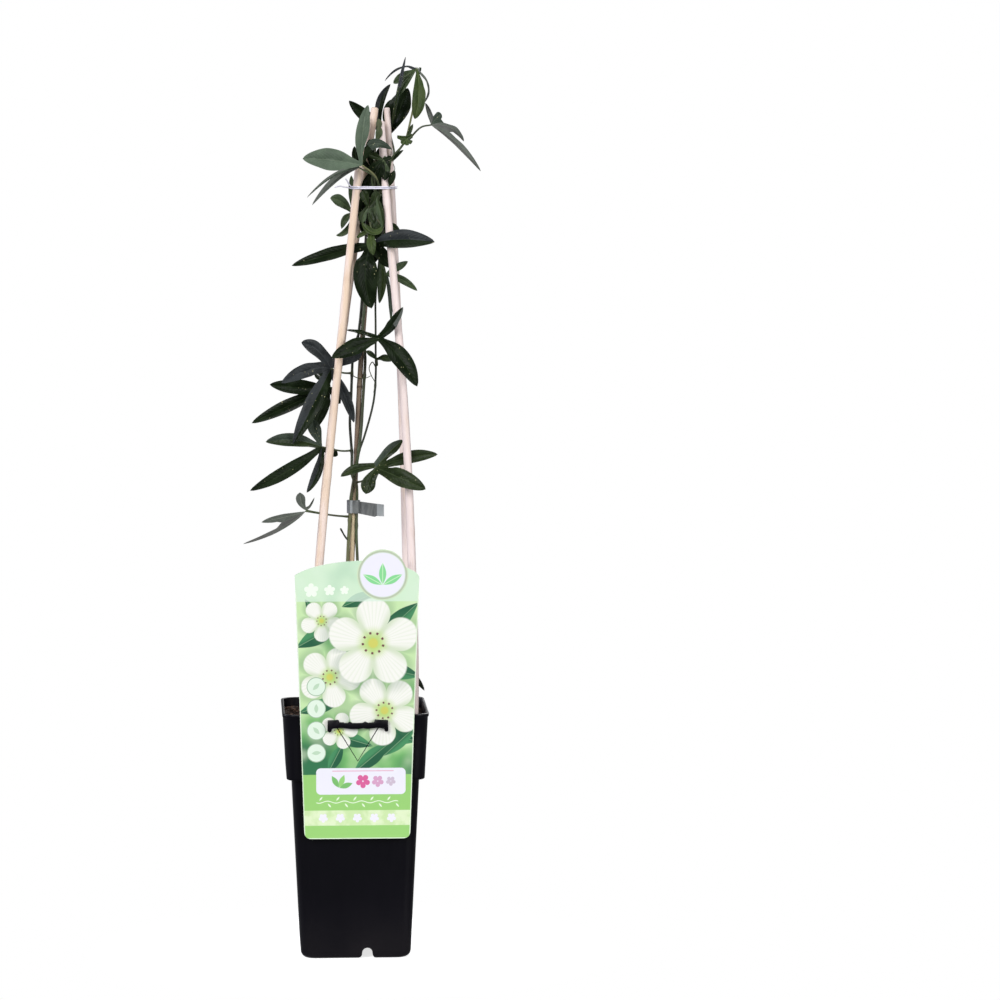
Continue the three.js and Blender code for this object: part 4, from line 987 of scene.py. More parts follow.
BRACT_LOBES = [
    ((50.5, -3, 726), (53.3, -4, 727), 7), ((43.5, -3, 726), (39.6, -4, 724.4), 7.5),
    ((45.3, -4, 721.5), (43.8, -5, 719.2), 9), ((47.8, -4.5, 721), (47.9, -5, 718.4), 9),
    ((49.8, -4, 722), (52, -5, 720.2), 9),
]
SPIKE_LOBE = [((50.5, -3.4, 731), (53.4, -3.4, 737.5), 3.6)]


def ageing(place):
    """Tone of the main stem: brown in its middle, pale where it leaves the tape."""
    return 0.5 * smooth(place.z, 400, 470) * smooth(place.z, 660, 600) - 0.3 * smooth(place.z, 404, 390)


def darker(place):
    """Tone of the second stem: darker higher up."""
    return 0.2 + 0.65 * smooth(place.z, 415, 450)


main = leaf_mesh()
path = smooth_path(MAIN_ROUTE, 2)
tube(main, path, knobbly(MAIN_RADIUS, 1.1, length_of(path), MAIN_KNOTS, 0.32), 14, ageing)
tube(main, smooth_path(SHOOT_ROUTE, 2), knobbly(1, 1, 1, (18,), 0.3), 12, 0.3)
tube(main, smooth_path(STUB_ROUTE, 1), knobbly(0.95, 0.6, 13, (12,), 0.4), 10, 0.75)
path = smooth_path(BRANCH_ROUTE, 2)
tube(main, path, knobbly(BRANCH_RADIUS, BRANCH_RADIUS * 0.9, length_of(path), (60, 100, 160), 0.25), 12, 0.8)
for route in TENDRIL_ROUTES:
    path = smooth_path(route, 1)
    tube(main, path, knobbly(TENDRIL_RADIUS, TENDRIL_RADIUS * 0.6, length_of(path), ()), 8, 0.2)
bract_mesh = leaf_mesh()
blade(bract_mesh, (47.6, -2.5, 724), (0.2, -1, 0.2), BRACT_LOBES, 32, "young", 1.3)
blade(bract_mesh, (48.5, -3, 725.5), (0.2, -1, 0.2), SPIKE_LOBE, 2, "deep")
thicken_blades(bract_mesh)
finish_leaf(bract_mesh, main, "main_stem", "stem_main")

second = new_mesh("tone", "along")
path = smooth_path(SECOND_ROUTE, 2)
tube(second, path, knobbly(SECOND_RADIUS, SHOOT_RADIUS, length_of(path), SECOND_KNOTS, 0.3), 14, darker)
mesh_piece(second, "second_stem", "stem_second", [green_stem], sharp=60)

# ---- Leaves ----------------------------------------------------------------------------------
# Palmate leaves with narrow, glossy lobes on thin stalks, grown at the stems' swellings. Each has
# its lobes listed anticlockwise round the hub, as seen from the side it faces.
PETIOLE_RADIUS = 0.95
# Lobes given the slate or satin look, on the whole lobe or on one half, carry painted sheen.
LEAVES = {  # foot of the stalk, then for each blade its bend, hub, facing, traits and lobes
    "top_front": ((25, 0, 677), [
        ((19, -18, 692), (8, -27, 701), (0.1, -1, 0.25),
         {"web": 6, "look": "under", "shape": 0.8, "shade": -0.6}, [
            ((15.5, -28, 719), (34, -24, 715), 11, (0, -0.9, 0.4), "dark", (0.4, "satin")),
            ((8, -31, 729), (13, -31, 754), 13), ((-18.5, -33.6, 705.6), (-44.8, -41, 707), 22.5),
        ]),
        ((19, -17, 691), (5, -24, 699), (0, -0.8, 0.5), {"web": 3, "look": "grey", "shape": 0.85}, [
            ((2, -24, 708), (1, -24, 718), 7, None, "dark"),
            ((-17, -41, 693), (-41.3, -54, 673.3), 3.2, None, "satin/grey"),
            ((-14, -31, 690.5), (-36.6, -36, 666.5), 6.5),
        ]),
    ]),
    "top_back": ((37, 0, 710), [
        ((36.6, 8, 716), (34, 16, 728), (-0.3, -1, 0.1), {}, [
            ((41, 11, 747.5), (49.5, 8, 769), 21.5),
            ((40, -10, 762), (46.3, -14, 796), 6, (-0.9, -0.6, 0.2), "deep/dark", (0.6, "slate")),
            ((32, 29, 744), (35, 33, 759), 9), ((14, 25, 743), (-2.5, 22, 758), 11),
        ]),
        ((36, -0.5, 707), (35.5, -1.5, 704.5), (0.3, -1, 0.3), {"web": 1}, [
            ((39.5, -2.5, 710), (45, -3, 714.5), 3),
        ]),
    ]),
    "shoot_tip": ((48, 1, 725), [
        ((56, 4, 764), (57, 1, 786), (0, -1, 0.4), {"web": 4, "look": "mid", "shape": 1.22, "shade": -0.3}, [
            ((58.3, -9, 764), (54.6, -10, 741.5), 13, (0.2, -1, 0), "young"),
            ((66.7, -2, 770.5), (62.5, -3, 755), 4.5, (1, -0.4, 0), "grey"),
            ((59, 12, 786), (58, 24, 778), 5, (0, -0.3, 1)),
            ((43, 0, 786.6), (28.5, -4, 775.5), 4.5, (-0.3, -0.3, 1), "slate"),
            ((45.3, -9, 779), (35.7, -11, 773), 8.5, (-0.2, -1, 0.1)),
            ((46.5, -8, 774.5), (39.5, -10, 761.5), 8, (-0.2, -1, 0.1)),
        ]),
    ]),
    "shoot_arching": ((49, -2, 723), [
        ((60.5, -5, 734.5), (69.5, -3, 736.5), (0.3, -0.8, 0.5), {"web": 20, "look": "grey", "shade": 0.45}, [
            ((91.5, -9, 720.5), (112.5, -16, 696), 6.5, (0.3, -0.8, 0.45), "grey/mauve"),
            ((87, 1, 734), (99, 8, 722), 6.5, (0.35, -0.8, 0.4), "grey/mauve"),
            ((74.5, 1, 743), (79, 4, 746), 9, (0.2, -0.9, 0.3), "satin"),
            ((68.5, -1, 745.5), (64.4, 2, 756), 4.5, (-0.2, -0.9, 0), "grey/mauve"),
        ]),
    ]),
    "upper_cross": ((11, -2, 641), [
        ((13, -9, 640), (16, -15, 632), (0, -1, 0.25), {"web": 12}, [
            ((-17, 3, 623), (-54, 12, 612), 12, (-0.1, -0.9, 0.4)),
            ((10.4, -20, 606.5), (16, -18, 575), 21.5, (0, -1, 0)), ((26, -7, 620), (35, -3, 611), 11),
            ((39.5, -27.5, 636), (71, -36, 634), 17.5, (0.1, -0.9, 0.3), "slate/dark"),
        ]),
    ]),
    "upper_small_right": ((24, 0, 615), [
        ((27, -1, 609), (29, -2, 605), (0, -1, 0.2), {"web": 4, "look": "mid"}, [
            ((33, -5, 584), (33.3, -6, 563), 4.5, (-0.6, -0.8, 0), "satin", (0.85, "young")),
            ((43, -2, 600), (57, -4, 590), 7), ((39, 3, 610), (49, 5, 616), 7),
        ]),
        ((24, -2, 618), (24.3, -5, 619), (0, -1, 0.2), {"web": 2, "look": "mid"}, [
            ((25.6, -8, 600), (23, -9, 579), 8, None, "young/mid"),
        ]),
    ]),
    "upper_small_left": ((12, -2, 658), [
        ((6, 0, 659), (1, 1, 657), (0, -1, 0.3), {"web": 4, "look": "mid"}, [
            ((0, 6, 674), (-1, 11, 692), 7), ((-9, 0, 668), (-20, 0, 672), 12),
            ((-5.5, -2, 655), (-10, -3, 644.8), 7), ((-5, 3, 643.5), (-14.8, 5, 639), 5.5),
        ]),
    ]),
    "middle_right": ((13, 2, 541), [
        ((18, -12, 544), (22, -24, 549), (0, -1, 0.35), {}, [
            ((2, -33, 542), (-20, -42, 533), 15, (-0.1, -1, 0.3)),
            ((39, -38, 534), (55, -46, 507.5), 18, (0.3, -1, 0.1)),
            ((33, -32, 560), (43, -36, 577), 10, (-0.5, -0.8, 0.2), "dark", (0.55, "dark/grey")),
            ((8, -18, 553), (-6, -13, 556), 8, (0, -0.35, 1)),
        ]),
    ]),
    "middle_left": ((-1, -1, 517), [
        ((-10, -10, 518), (-20, -16, 522), (0, -1, 0.3), {"web": 12, "look": "slate"}, [
            ((-4, -13, 532), (8, -10, 537), 15, None, "slate"), ((-32, -14, 538), (-46, -10, 545), 13),
            ((-40, -24, 521), (-64, -30, 510), 13),
            ((-35, -26, 493), (-54, -32, 456), 15, (-0.2, -1, 0.1), "dark/slate"),
            ((-8, -10, 498), (0.5, -8, 473.5), 9.5, (0.3, -0.9, 0)),
        ]),
    ]),
    "middle_back": ((-2, 1, 499), [
        ((-11, 5, 501), (-20, 8, 504), (0, -1, 0.4), {}, [
            ((-27, 24, 512), (-31, 36, 515), 11, (-0.3, -0.3, 0.9)), ((-47, 4, 504), (-74, 4, 507), 14),
            ((-56, 12, 488), (-90, 14, 472), 12), ((-28, 0, 485), (-38, -4, 464), 12),
            ((-16, 12, 496), (-11, 14, 489), 8),
        ]),
    ]),
    "lower_left": ((-1, 2, 448), [
        ((-12, -14, 449), (-28, -22, 453), (0, -1, 0.4), {}, [
            ((-34, -20, 465), (-37, -17, 478), 14, None, "satin"),
            ((-52, -25, 459), (-78, -27, 458), 13, None, "deep/satin"),
            ((-58, -32, 433), (-92, -40, 416), 12),
            ((-32, -24, 432), (-42, -28, 413), 8.5, None, "dark/slate"),
            ((-21, -19, 449), (-14, -15, 445), 9),
        ]),
    ]),
    "lowest_left": ((-5, -3, 389.5), [
        ((-21, -20, 392.5), (-43, -26, 396.4), (0, -1, 0.5), {"web": 26, "look": "grey"}, [
            ((-61, -31, 391.8), (-82, -36, 387.8), 7.5, (0, -0.8, 0.5)),
            ((-67, -35, 381), (-98, -42, 369.3), 4, (-0.2, -0.8, 0.5), "grey/mauve", (0.5, "mauve")),
        ]),
        ((-21, -20, 392.5), (-42.6, -25.7, 397.2), (0, -1, 0.5), {"web": 5, "look": "grey"}, [
            ((-39, -24, 401), (-35, -20, 408), 2, (0.3, -0.9, 0)),
            ((-46.5, -26, 404), (-48, -24, 413), 11, (0, -1, 0)),
        ]),
    ]),
    "lower_right": ((2, -4, 420), [
        ((9, -16, 423), (19, -28, 435), (0, -1, 0.4), {"web": 11, "look": "deep"}, [
            ((13.5, -32, 424), (10, -34, 412), 16), ((40, -45, 427), (62, -54, 417.6), 16, (0.2, -1, 0.2)),
            ((47, -24, 443), (74, -22, 446), 12),
            ((30.3, -26, 447.7), (43, -22, 459), 10.5, None, "satin/deep"),
            ((3, -27, 434), (-12, -26, 427), 9, (0, -0.8, 0.5)),
        ]),
    ]),
    "bundle_dark": ((22, 1, 672), [
        ((17, -9, 690), (27, -17, 705.5), (0, -1, 0.1), {"web": 6}, [
            ((30.3, -16, 707), (34, -15, 708.3), 5), ((20.5, -15, 708.5), (14, -14, 710.5), 7, None, "deep"),
            ((20.5, -16, 701), (15, -13, 694), 11), ((24, -16, 698), (22.5, -14, 688), 11),
            ((28.5, -17, 697), (28, -17, 688), 9, None, "mid/dark", (0.55, "dark")),
        ]),
        ((17, -9, 690), (28.2, -15.4, 709), (0, -1, 0.1), {"web": 2}, [
            ((28.3, -15.8, 699), (27.5, -16.4, 687.5), 9.5),
        ]),
        ((20, 3, 684), (17, 3, 697), (0, -1, 0.1), {"web": 5}, [
            ((14, 3, 686), (12, 3, 672), 13), ((22, 3, 688), (24, 3, 672), 12),
            ((22, 2.5, 706), (27, 1, 718), 12), ((16, 3, 710), (15, 3, 724), 11),
            ((11, 2, 702), (5, 0, 706), 10),
        ]),
        ((20, 3, 684), (18, 5, 707), (0, -1, 0.1), {"web": 2}, [((18, 6, 690), (18, 6, 672), 9)]),
        ((28, -8, 677), (32.1, -14, 683), (0, -1, 0.1), {"web": 2}, [
            ((34, -15, 689.5), (36.9, -15, 696.5), 6),
        ]),
    ]),
    "bundle_bright": ((13, -2, 663), [
        ((20, -9, 655), (26.5, -15, 646), (0, -1, 0.1), {"web": 4, "look": "bright"}, [
            ((24, -17, 660), (20.5, -16, 673), 5.5, None, "mid/deep"),
            ((17, -18, 642), (7.5, -15, 651), 8, (0, -0.7, 0.7)),
        ]),
        ((15, -12, 650), (16, -15, 643.5), (0, -1, 0.1), {"web": 4, "look": "bright"}, [
            ((9, -15, 641), (3, -14, 637), 4.5, None, "young"), ((15.5, -22, 634), (17.5, -24, 622), 8.5),
            ((22, -15, 645), (26, -15, 651), 6, None, "deep"),
        ]),
        ((13, -7, 667), (14, -10, 664), (0, -1, 0.2), {"web": 4, "look": "deep"}, [
            ((10.5, -11, 673), (9, -11, 679), 10), ((9.5, -10, 658), (8, -11, 650), 10, None, "mid/deep"),
            ((16, -11, 656), (16, -12, 650), 8), ((19, -10, 671), (20.5, -11, 679), 10),
        ]),
        ((15, -6, 672), (19.5, -8, 669), (0, -1, 0.1), {"web": 2, "look": "mid"}, [
            ((19, -9.5, 658), (17, -9.5, 644), 11),
        ]),
        ((13, 6, 670), (12, 8, 680), (0, -1, 0.1), {"web": 2}, [((12.5, 8, 660), (15, 8, 636), 16)]),
        ((16, 6, 670), (23, 8, 680), (0, -1, 0.1), {"web": 2}, [((24.5, 8, 658), (26, 8, 634), 14)]),
        ((15, 4, 668), (17, 5, 664), (0, -1, 0.1), {"web": 5}, [
            ((13, 5, 652), (11, 4, 638), 14), ((21, 5, 650), (22, 5, 634), 14),
            ((25, 5, 668), (28, 4, 677), 11), ((15, 5, 674), (14, 5, 685), 13),
        ]),
    ]),
    "bundle_back": ((20, 2, 650), [
        ((24, 4, 650), (28, 3, 651), (0, -1, 0.2), {"web": 4}, [
            ((35, 1, 647), (42, 1, 641), 7, None, "deep"), ((26, 5, 660), (23, 6, 672), 11),
            ((19, 14, 656), (12, 22, 663), 12),
        ]),
        ((28, 7, 642), (24, 7, 631), (0, -1, 0.2), {"web": 4}, [
            ((20, 7, 622), (18, 7, 614), 9), ((28, 6, 622), (30, 4, 611), 12),
            ((29, 8, 633), (34, 9, 631), 7),
        ]),
        ((24, 10, 700), (25.5, 11, 737), (0, -1, 0), {"web": 3}, [((24.6, 11, 728), (24, 11, 719), 8)]),
        ((24, 10, 700), (25.4, 11, 736), (0, -1, 0), {"web": 3}, [
            ((24.4, 10, 755), (34, 9, 772.6), 7.5, None, "slate/dark"),
        ]),
        ((20, -3, 715), (22, -10.6, 735.5), (0.2, -1, 0), {"web": 2, "look": "stalk"}, [
            ((23, -10.8, 730), (21, -10, 723.5), 6.5),
        ]),
        ((20, -3, 715), (22.2, -10.4, 732.5), (0.2, -1, 0), {"web": 2, "look": "stalk"}, [
            ((23, -10.6, 737), (22.6, -10, 742), 5.5),
        ]),
    ]),
    "side_small": ((21, -1, 524), [
        ((21, -5, 527), (21, -8, 529), (0, -1, 0.3), {"web": 3, "look": "mid"}, [
            ((27, -12, 531), (33, -16, 528), 8, None, "deep"), ((16, -9, 534), (11, -10, 537), 5),
        ]),
    ]),
    "base_right": ((-4, -2, 246), [
        ((13, 8, 252), (33, 20, 250), (0, -0.6, 0.8), {"web": 5}, [
            ((28, 10, 239), (22, 4, 227), 9), ((49, 24, 246), (64, 24, 230), 8),
            ((39, 34, 256), (45, 46, 251), 9),
        ]),
    ]),
}

for name, (foot, fans) in LEAVES.items():
    blades = leaf_mesh()
    stalks = new_mesh("tone", "along")
    for bend, hub, face, traits, lobes in fans:
        path = smooth_path([foot, bend, hub], 1)
        stalk = knobbly(PETIOLE_RADIUS, PETIOLE_RADIUS * 0.75, length_of(path), (2,), 0.25)
        tube(stalks, path, stalk, 10, traits.pop("shade", 0.15))
        blade(blades, hub, face, lobes, **traits)
    thicken_blades(blades)
    finish_leaf(blades, stalks, "palmate_" + name, "leaf_" + name)

# ---- Ties ------------------------------------------------------------------------------------
# A pale plastic-coated wire goes round the four sticks and is twisted at the front left, with two
# tails. Lower down a grey plastic tape holds the two stems to the cane, its end left as a flag.
FIT = 0.2
STICK_TIE_RADIUS = 3.55  # at the wire's height
WIRE_RADIUS = 0.6
WIRE_Z = TIE_Z + 2
KNOT = (-1.2, -11.5)
LOWER_TAIL = [(-16, -15.4, 0.6), (-12, -15.6, 1.8), (-8, -14.4, 1), (-4, -12.6, 0.4)]
UPPER_TAIL = [(-2.2, -12.6, 1.6), (-4, -14, 4), (-5.2, -14.7, 6.4), (-6.5, -15, 8.2)]
TAPE_Z = 392.6
TAPE_HEIGHT = 11.6
TAPE_THICK = 0.5
TAPE_SLACK = 0.2
TAPE_LEVELS = 6
TAPE_SWAY = 0.18
FLAG_LENGTH = 22.5
FLAG_OVERLAP = 0.6  # how far it starts inside the ring


def belt(circles, grow, steps=6):
    """Outline pulled round circles of (x, y, radius), listed anticlockwise, each grown by the same amount."""
    def normal_to(a, b):
        span = math.hypot(b[0] - a[0], b[1] - a[1])
        return math.atan2(b[1] - a[1], b[0] - a[0]) - math.acos((a[2] - b[2]) / span)
    line = []
    for i, circle in enumerate(circles):
        start = normal_to(circles[i - 1], circle)
        end = normal_to(circle, circles[(i + 1) % len(circles)])
        while end < start:
            end += math.tau
        reach = circle[2] + grow
        for turn in (start + (end - start) * k / steps for k in range(steps + 1)):
            line.append((circle[0] + reach * math.cos(turn), circle[1] + reach * math.sin(turn)))
    return line


coated_wire, shader, spot = new_material("coated_wire")
scuff = speckle(spot, 300, 3)
lilac = blend(ramp(scuff, 0.4, 0.75), (0.78, 0.76, 0.88), (0.6, 0.58, 0.7))
surface(shader, lilac, ramp(scuff, 0.3, 0.7, 0.35, 0.5), scuff, 0.0001, 0.4)

held = [(*route[-2][:2], STICK_TIE_RADIUS) for route, *_ in STICKS.values()]
loop = belt(held, FIT + WIRE_RADIUS)
start = min(range(len(loop)), key=lambda k: math.dist(loop[k], KNOT))
around = list(enumerate(loop[start:] + loop[:start]))
turns = [(x, y, lift + 0.2 * k / len(around)) for lift in (-0.4, 0.95) for k, (x, y) in around]
path = smooth_path([(x, y, WIRE_Z + up) for x, y, up in (*LOWER_TAIL, *turns, *UPPER_TAIL)], 0.8)
wire = new_mesh("tone", "along")
tube(wire, path, knobbly(WIRE_RADIUS, WIRE_RADIUS, 1, ()), 10)
mesh_piece(wire, "tie_wire_loop", "tie_wire", [coated_wire], sharp=60)

grey_tape, shader, spot = new_material("grey_tape")
crease = speckle(spot, (600, 600, 120), 4)
wide = axes(spot)[0]
# Painted highlight: a pale vertical stripe down the front of the ring of tape, where it would catch the
# light; it is mixed with the flag's paler end.
ring_highlight = ramp(wide, -0.0038, -0.003) * ramp(wide, -0.0008, -0.0016)
pale = calc("MAXIMUM", ramp(wide, 0.0202, 0.0212), ring_highlight)
dull = blend(ramp(crease, 0.35, 0.7), (0.1, 0.108, 0.112), (0.15, 0.16, 0.16))
streaked = blend(pale * 0.7, dull, (0.42, 0.45, 0.47))
surface(shader, streaked, ramp(crease, 0.3, 0.7, 0.3, 0.5), crease, 0.0006, 0.6)

middle = TAPE_Z + TAPE_HEIGHT / 2
left = beside(middle, 216, MAIN_RADIUS)
right = beside(middle, -53, SECOND_RADIUS)
held = ((left, MAIN_RADIUS), (right, SECOND_RADIUS), (cane_at(middle), CANE_RADIUS))
outline = belt([(at.x, at.y, radius + TAPE_SLACK) for at, radius in held], FIT + TAPE_THICK)
tape = bmesh.new()
ring = [tape.verts.new(Vector((x, y, TAPE_Z)) * MM) for x, y in outline]
for pair in zip(ring, ring[1:] + ring[:1]):
    tape.edges.new(pair)
for level in range(1, TAPE_LEVELS + 1):
    ring = next_ring(tape, ring)
    for vert in ring:
        vert.co.y += TAPE_SWAY * math.sin(vert.co.x / MM * 1.3 + level * 1.7) * MM
        vert.co.z = (TAPE_Z + TAPE_HEIGHT * level / TAPE_LEVELS) * MM
bmesh.ops.recalc_face_normals(tape, faces=tape.faces)
thicken(tape, TAPE_THICK)
flag = bmesh.new()
flag_start = right.x + SECOND_RADIUS + TAPE_SLACK + FIT + TAPE_THICK / 2 - FLAG_OVERLAP
bmesh.ops.create_grid(flag, x_segments=20, y_segments=6, size=1)
for vert in flag.verts:
    share = (vert.co.x + 1) / 2
    top = middle + 4.6 - 2.8 * share
    notch = 0.9 * smooth(share, 0.64, 0.68) - 1.2 * max(share - 0.7, 0)
    bottom = middle - 5.8 - 4.6 * min(share, 0.64) + notch
    x = flag_start + FLAG_LENGTH * share
    y = right.y - 2.6 * (share - 0.45) + 0.5 * math.sin(share * 7 + vert.co.y * 0.8)
    vert.co = Vector((x, y, bottom + (top - bottom) * (vert.co.y + 1) / 2)) * MM
thicken(flag, TAPE_THICK)
join_mesh(tape, flag)
mesh_piece(tape, "tape_with_flag", "tie_tape", [grey_tape], sharp=50)

# ---- Sale card -------------------------------------------------------------------------------
# Glossy plastic card, printed on its face with white blossoms over soft green foliage, and hung on
# the pot's bar by a V-shaped cut. A white disc stands up from its top edge.
CARD_LEAN = math.atan((RIM_HALF - COLLAR_HALF) / (POT_HEIGHT - COLLAR_BOTTOM))
CARD_X = 1
CARD_STRETCH = 2.2  # how far the top of the card's bent-up end stands higher
DISC_U = 22.4
DISC_V = 124.4
CAD_DISC_U = 27
DISC_LIFT = 1.7
LANCES = [  # place, length, half width and turn of the leaves behind the blossoms
    (-54, 60, 46, 8, 0.5), (-46, 104, 40, 6, -1.0), (54, 100, 50, 8, -2.4), (56, 34, 44, 7.5, 2.9),
    (-52, 2, 42, 6.5, 0.3), (-24, -16, 40, 6.5, -0.3), (54, -24, 46, 7.5, 2.9), (-4, -52, 44, 7, 0.7),
    (52, -10, 40, 6, -2.4), (-26, -52, 30, 5.5, 1.1), (-14, 96, 34, 6, 0.4),
]
BLOSSOMS = [(-31, 84, 19, 0.3), (-16, -14, 17, 1.2), (-24, 34, 28, 0.1), (24, 4, 32, 0.4), (14, 64, 41, 0.95)]
LIME = (0.316, 0.61, 0.183)
PALE_LIME = (0.58, 0.76, 0.4)
PAPER = (0.82, 0.81, 0.9)
PALE_GREEN = (0.8, 0.9, 0.72)
GREY_GREEN = (0.34, 0.5, 0.34)
MID_GREEN = (0.2, 0.5, 0.16)


def from_place(given):
    """How far a point is from a motif's place, across the card and up it."""
    return given["u"] - given["at_u"], given["v"] - given["at_v"]


def hypotenuse(a, b):
    """Distance made of two steps at a right angle."""
    return calc("SQRT", a * a + b * b)


blossom, given, output = group_of(
    "blossom", ["u", "v", "at_u", "at_v", "size", "turn"],
    ["petals", "heart", "shade", "throat", "halo", "dots"],
)
across, up = from_place(given)
reach = hypotenuse(across, up) / given["size"]
angle = calc("ARCTAN2", up, across) + given["turn"]
petal = abs(calc("COSINE", angle * 2.5))
inside = calc("POWER", petal, 0.5) * 0.5 + 0.5 - reach
streak = ramp(calc("SINE", angle * 55.0), -0.2, 1.0) * 0.28
plug(output, {
    "petals": ramp(inside, 0.0, 0.05),
    "halo": ramp(inside, -0.3, 0.02),
    "heart": ramp(reach, 0.13, 0.08),
    "throat": ramp(reach, 0.42, 0.1),
    "dots": ramp(abs(reach - 0.22), 0.035, 0.015) * ramp(calc("COSINE", angle * 9.0), 0.35, 0.75),
    "shade": calc("MAXIMUM", ramp(petal, 0.8, 0.1), streak),
})

lance, given, output = group_of(
    "lance_leaf", ["u", "v", "at_u", "at_v", "length", "wide", "turn"], ["blade", "rib", "tone"],
)
across, up = from_place(given)
cosine = calc("COSINE", given["turn"])
sine = calc("SINE", given["turn"])
away = up * cosine - across * sine
share = (across * cosine + up * sine) / given["length"]
room = calc("SINE", share * math.pi) * given["wide"] - abs(away)
plug(output, {
    "blade": ramp(room, 0.0, 0.5) * (ramp(share, 0.0, 0.02) * ramp(share, 1.0, 0.98)),
    "rib": ramp(abs(away), 0.5, 0.1),
    "tone": ramp(away, -1.0, 3.0),
})

rounded, given, output = group_of(
    "rounded_panel", ["u", "v", "at_u", "at_v", "half_u", "half_v", "corner"], ["panel"],
)
across, up = from_place(given)
out_u = calc("MAXIMUM", abs(across) - (given["half_u"] - given["corner"]), 0.0)
out_v = calc("MAXIMUM", abs(up) - (given["half_v"] - given["corner"]), 0.0)
plug(output, {"panel": ramp(hypotenuse(out_u, out_v) - given["corner"], 0.15, -0.15)})

print_face, shader, spot = new_material("printed_face")
side, _, height = axes(spot)
u = side * 1000.0 - CARD_X
v = (height - POT_HEIGHT * MM) * (1000 / math.cos(CARD_LEAN))
haze = speckle(spot, 24, 2, 0.4) + ramp(v, -50, 20, 0.0, 0.24)
deep = blend(ramp(haze, 0.36, 0.58), (0.04, 0.18, 0.08), (0.17, 0.45, 0.15))
ground = blend(ramp(haze, 0.52, 0.74), deep, (0.56, 0.77, 0.42))
picture = blend(ramp(cells_of(spot, 62.0, "SMOOTH_F1"), 0.5, 0.1) * 0.4, ground, (0.74, 0.84, 0.62))


def motif(kind, at_u, at_v, **sockets):
    """The masks of a printed motif at a place on the card, in millimetres."""
    return marks_of(print_face.node_tree, kind, u=u, v=v, at_u=at_u, at_v=at_v, **sockets)


def leaf_marks(at_u, at_v, length, wide, turn):
    """The masks of a narrow leaf that starts at a place."""
    return motif(lance, at_u, at_v, length=length, wide=wide, turn=turn)


def flower_marks(at_u, at_v, size, turn):
    """The masks of a blossom round a place."""
    return motif(blossom, at_u, at_v, size=size, turn=turn)


def panel(at_u, at_v, half_u, half_v, corner):
    """The mask of a rounded panel round a place."""
    return motif(rounded, at_u, at_v, half_u=half_u, half_v=half_v, corner=corner)["panel"]


def disc(at_u, at_v, radius):
    """The mask of a disc round a place."""
    return panel(at_u, at_v, radius, radius, radius)


for place in LANCES:
    marks = leaf_marks(*place)
    leaf_green = blend(marks["tone"], (0.025, 0.115, 0.06), (0.07, 0.27, 0.12))
    picture = blend(marks["blade"], picture, blend(marks["rib"] * 0.6, leaf_green, (0.3, 0.5, 0.28)))
for place in BLOSSOMS:
    marks = flower_marks(*place)
    picture = blend(marks["halo"] * 0.3, picture, (0.06, 0.2, 0.09))
    white = blend(marks["shade"] * 0.8, (0.88, 0.88, 0.83), (0.6, 0.7, 0.5))
    throat = blend(marks["throat"], white, (0.5, 0.68, 0.22))
    hearted = blend(marks["heart"], throat, (0.62, 0.62, 0.14))
    picture = blend(marks["petals"], picture, blend(marks["dots"], hearted, (0.16, 0.06, 0.07)))

picture = blend(ramp(v, -52.8, -53.2), picture, LIME)
strip_print = blend(ramp(speckle(spot, 90, 3), 0.4, 0.65), PALE_LIME, (0.72, 0.84, 0.56))
picture = blend(ramp(v, -84.8, -85.2) * ramp(v, -98.8, -98.4), picture, strip_print)
for at_u in (-30, -15, 0, 15, 30):
    picture = blend(flower_marks(at_u, -91.8, 4.2, 0.3)["petals"], picture, PAPER)
wave = calc("SINE", u * 0.42) * 0.9 - 77.5
vine = ramp(abs(v - wave), 0.5, 0.25) * ramp(abs(u), 36.5, 35.5)
picture = blend(vine, picture, PALE_GREEN)
for k in range(10):
    turn = (0.9, -0.9)[k % 2]
    picture = blend(leaf_marks(7.48 * k - 33.7, -77.5 + turn, 5.4, 0.95, turn)["blade"], picture, PALE_GREEN)
picture = blend(panel(3.2, -59, 39.3, 11.8, 4), picture, PAPER)
picture = blend(panel(5, -49.8, 27, 0.3, 0.3), picture, (0.75, 0.3, 0.45))
for turn, tint in ((0.35, MID_GREEN), (1.2, (0.3, 0.62, 0.2)), (2.1, MID_GREEN)):
    picture = blend(leaf_marks(-16, -65, 13, 2.6, turn)["blade"], picture, tint)
pinks = [(5, 6.4, (0.68, 0.13, 0.33)), (18, 5.4, (0.66, 0.36, 0.55)), (29.5, 4.4, (0.6, 0.5, 0.62))]
for at_u, size, tint in pinks:
    marks = flower_marks(at_u, -59, size, 0.3)
    picture = blend(marks["heart"], blend(marks["petals"], picture, tint), PAPER)
for level, turn in ((25.6, 0.8), (6, 1.57), (-13.6, 2.3), (-33.5, 0.1)):
    picture = blend(disc(-35.9, level, 8.4), picture, GREY_GREEN)
    picture = blend(disc(-35.9, level, 7.7), picture, (0.74, 0.86, 0.74))
    stalk = (-35.9 - 4.5 * math.cos(turn), level - 4.5 * math.sin(turn))
    picture = blend(leaf_marks(*stalk, 9, 2, turn)["blade"], picture, (0.5, 0.68, 0.5))
picture = blend(ramp(v, 100.6, 101.4) * 0.68, picture, (0.66, 0.83, 0.7))
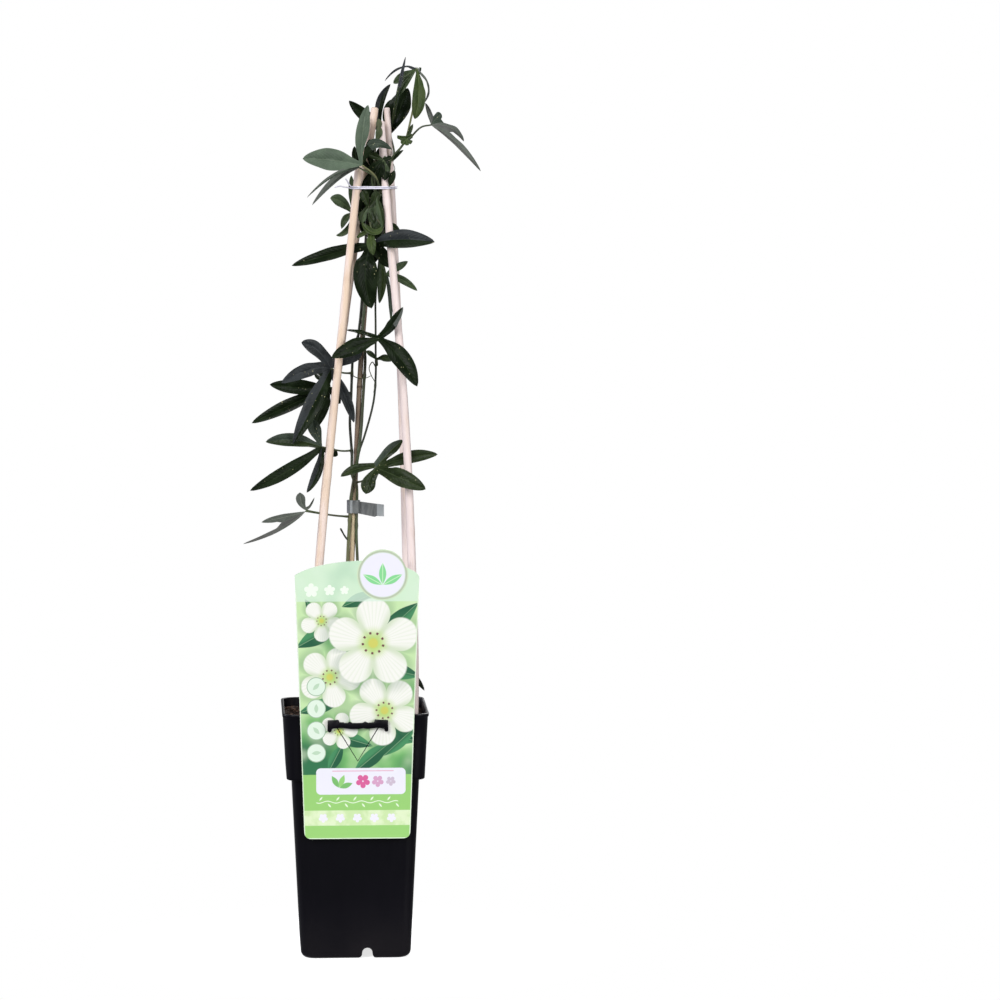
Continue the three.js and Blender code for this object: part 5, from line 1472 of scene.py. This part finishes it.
for at_u, size in ((-40, 6.5), (-24, 5), (-11, 4)):
    picture = blend(flower_marks(at_u, 111, size, 0.9)["petals"], picture, (0.85, 0.93, 0.82))
rounds = [(22.5, (0.6, 0.74, 0.52)), (21.5, (0.47, 0.54, 0.4)), (20, (0.68, 0.76, 0.7)), (19.3, PAPER)]
for radius, tint in rounds:
    picture = blend(disc(DISC_U, DISC_V, radius), picture, tint)
for turn in (0.5, 1.57, 2.64):
    marks = leaf_marks(DISC_U, DISC_V - 9, 20, 3.4, turn)
    picture = blend(marks["blade"], picture, (0.25, 0.68, 0.3))
    picture = blend(marks["rib"] * marks["blade"], picture, (0.6, 0.85, 0.55))
half_width = calc("MULTIPLY_ADD", v, 8 / 236, 50.25)
edge = calc("MINIMUM", half_width - abs(u), v + 110.5)
picture = blend(ramp(edge, 1.0, 0.6) * ramp(v, 112, 106), picture, (0.72, 0.85, 0.66))
surface(shader, picture, 0.3, speckle(spot, 60, 2), 0.0003, 0.3, 0.35)

card_white, shader, spot = new_material("card_white")
plug(shader, {
    "Base Color": blend(speckle(spot, 90, 3), (0.8, 0.82, 0.8), (0.9, 0.9, 0.9)),
    "Roughness": ramp(speckle(spot, 300, 2), 0.3, 0.7, 0.35, 0.5),
})

card = bmesh.new()
card.from_mesh(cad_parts["label_card"].data)
bmesh.ops.remove_doubles(card, verts=card.verts[:], dist=0.01 * MM)
for vert in card.verts:
    x, y, z = vert.co / MM
    shift = (DISC_U - CAD_DISC_U) * smooth(x - CARD_X, -54.5, 9.6) * smooth(x - CARD_X, 54.5, 47.2)
    vert.co.x += shift * smooth(z, 320, 338) * MM
    vert.co.z += (CARD_STRETCH * smooth(z, 300, 352) + DISC_LIFT * smooth(z, 347, 362)) * MM
card.normal_update()
front = Vector((0, -math.cos(CARD_LEAN), -math.sin(CARD_LEAN)))
for face in card.faces:
    face.material_index = 0 if face.normal.dot(front) > 0.9 else 1
mesh_piece(card, "printed_card", "label_card", [print_face, card_white], sharp=30)
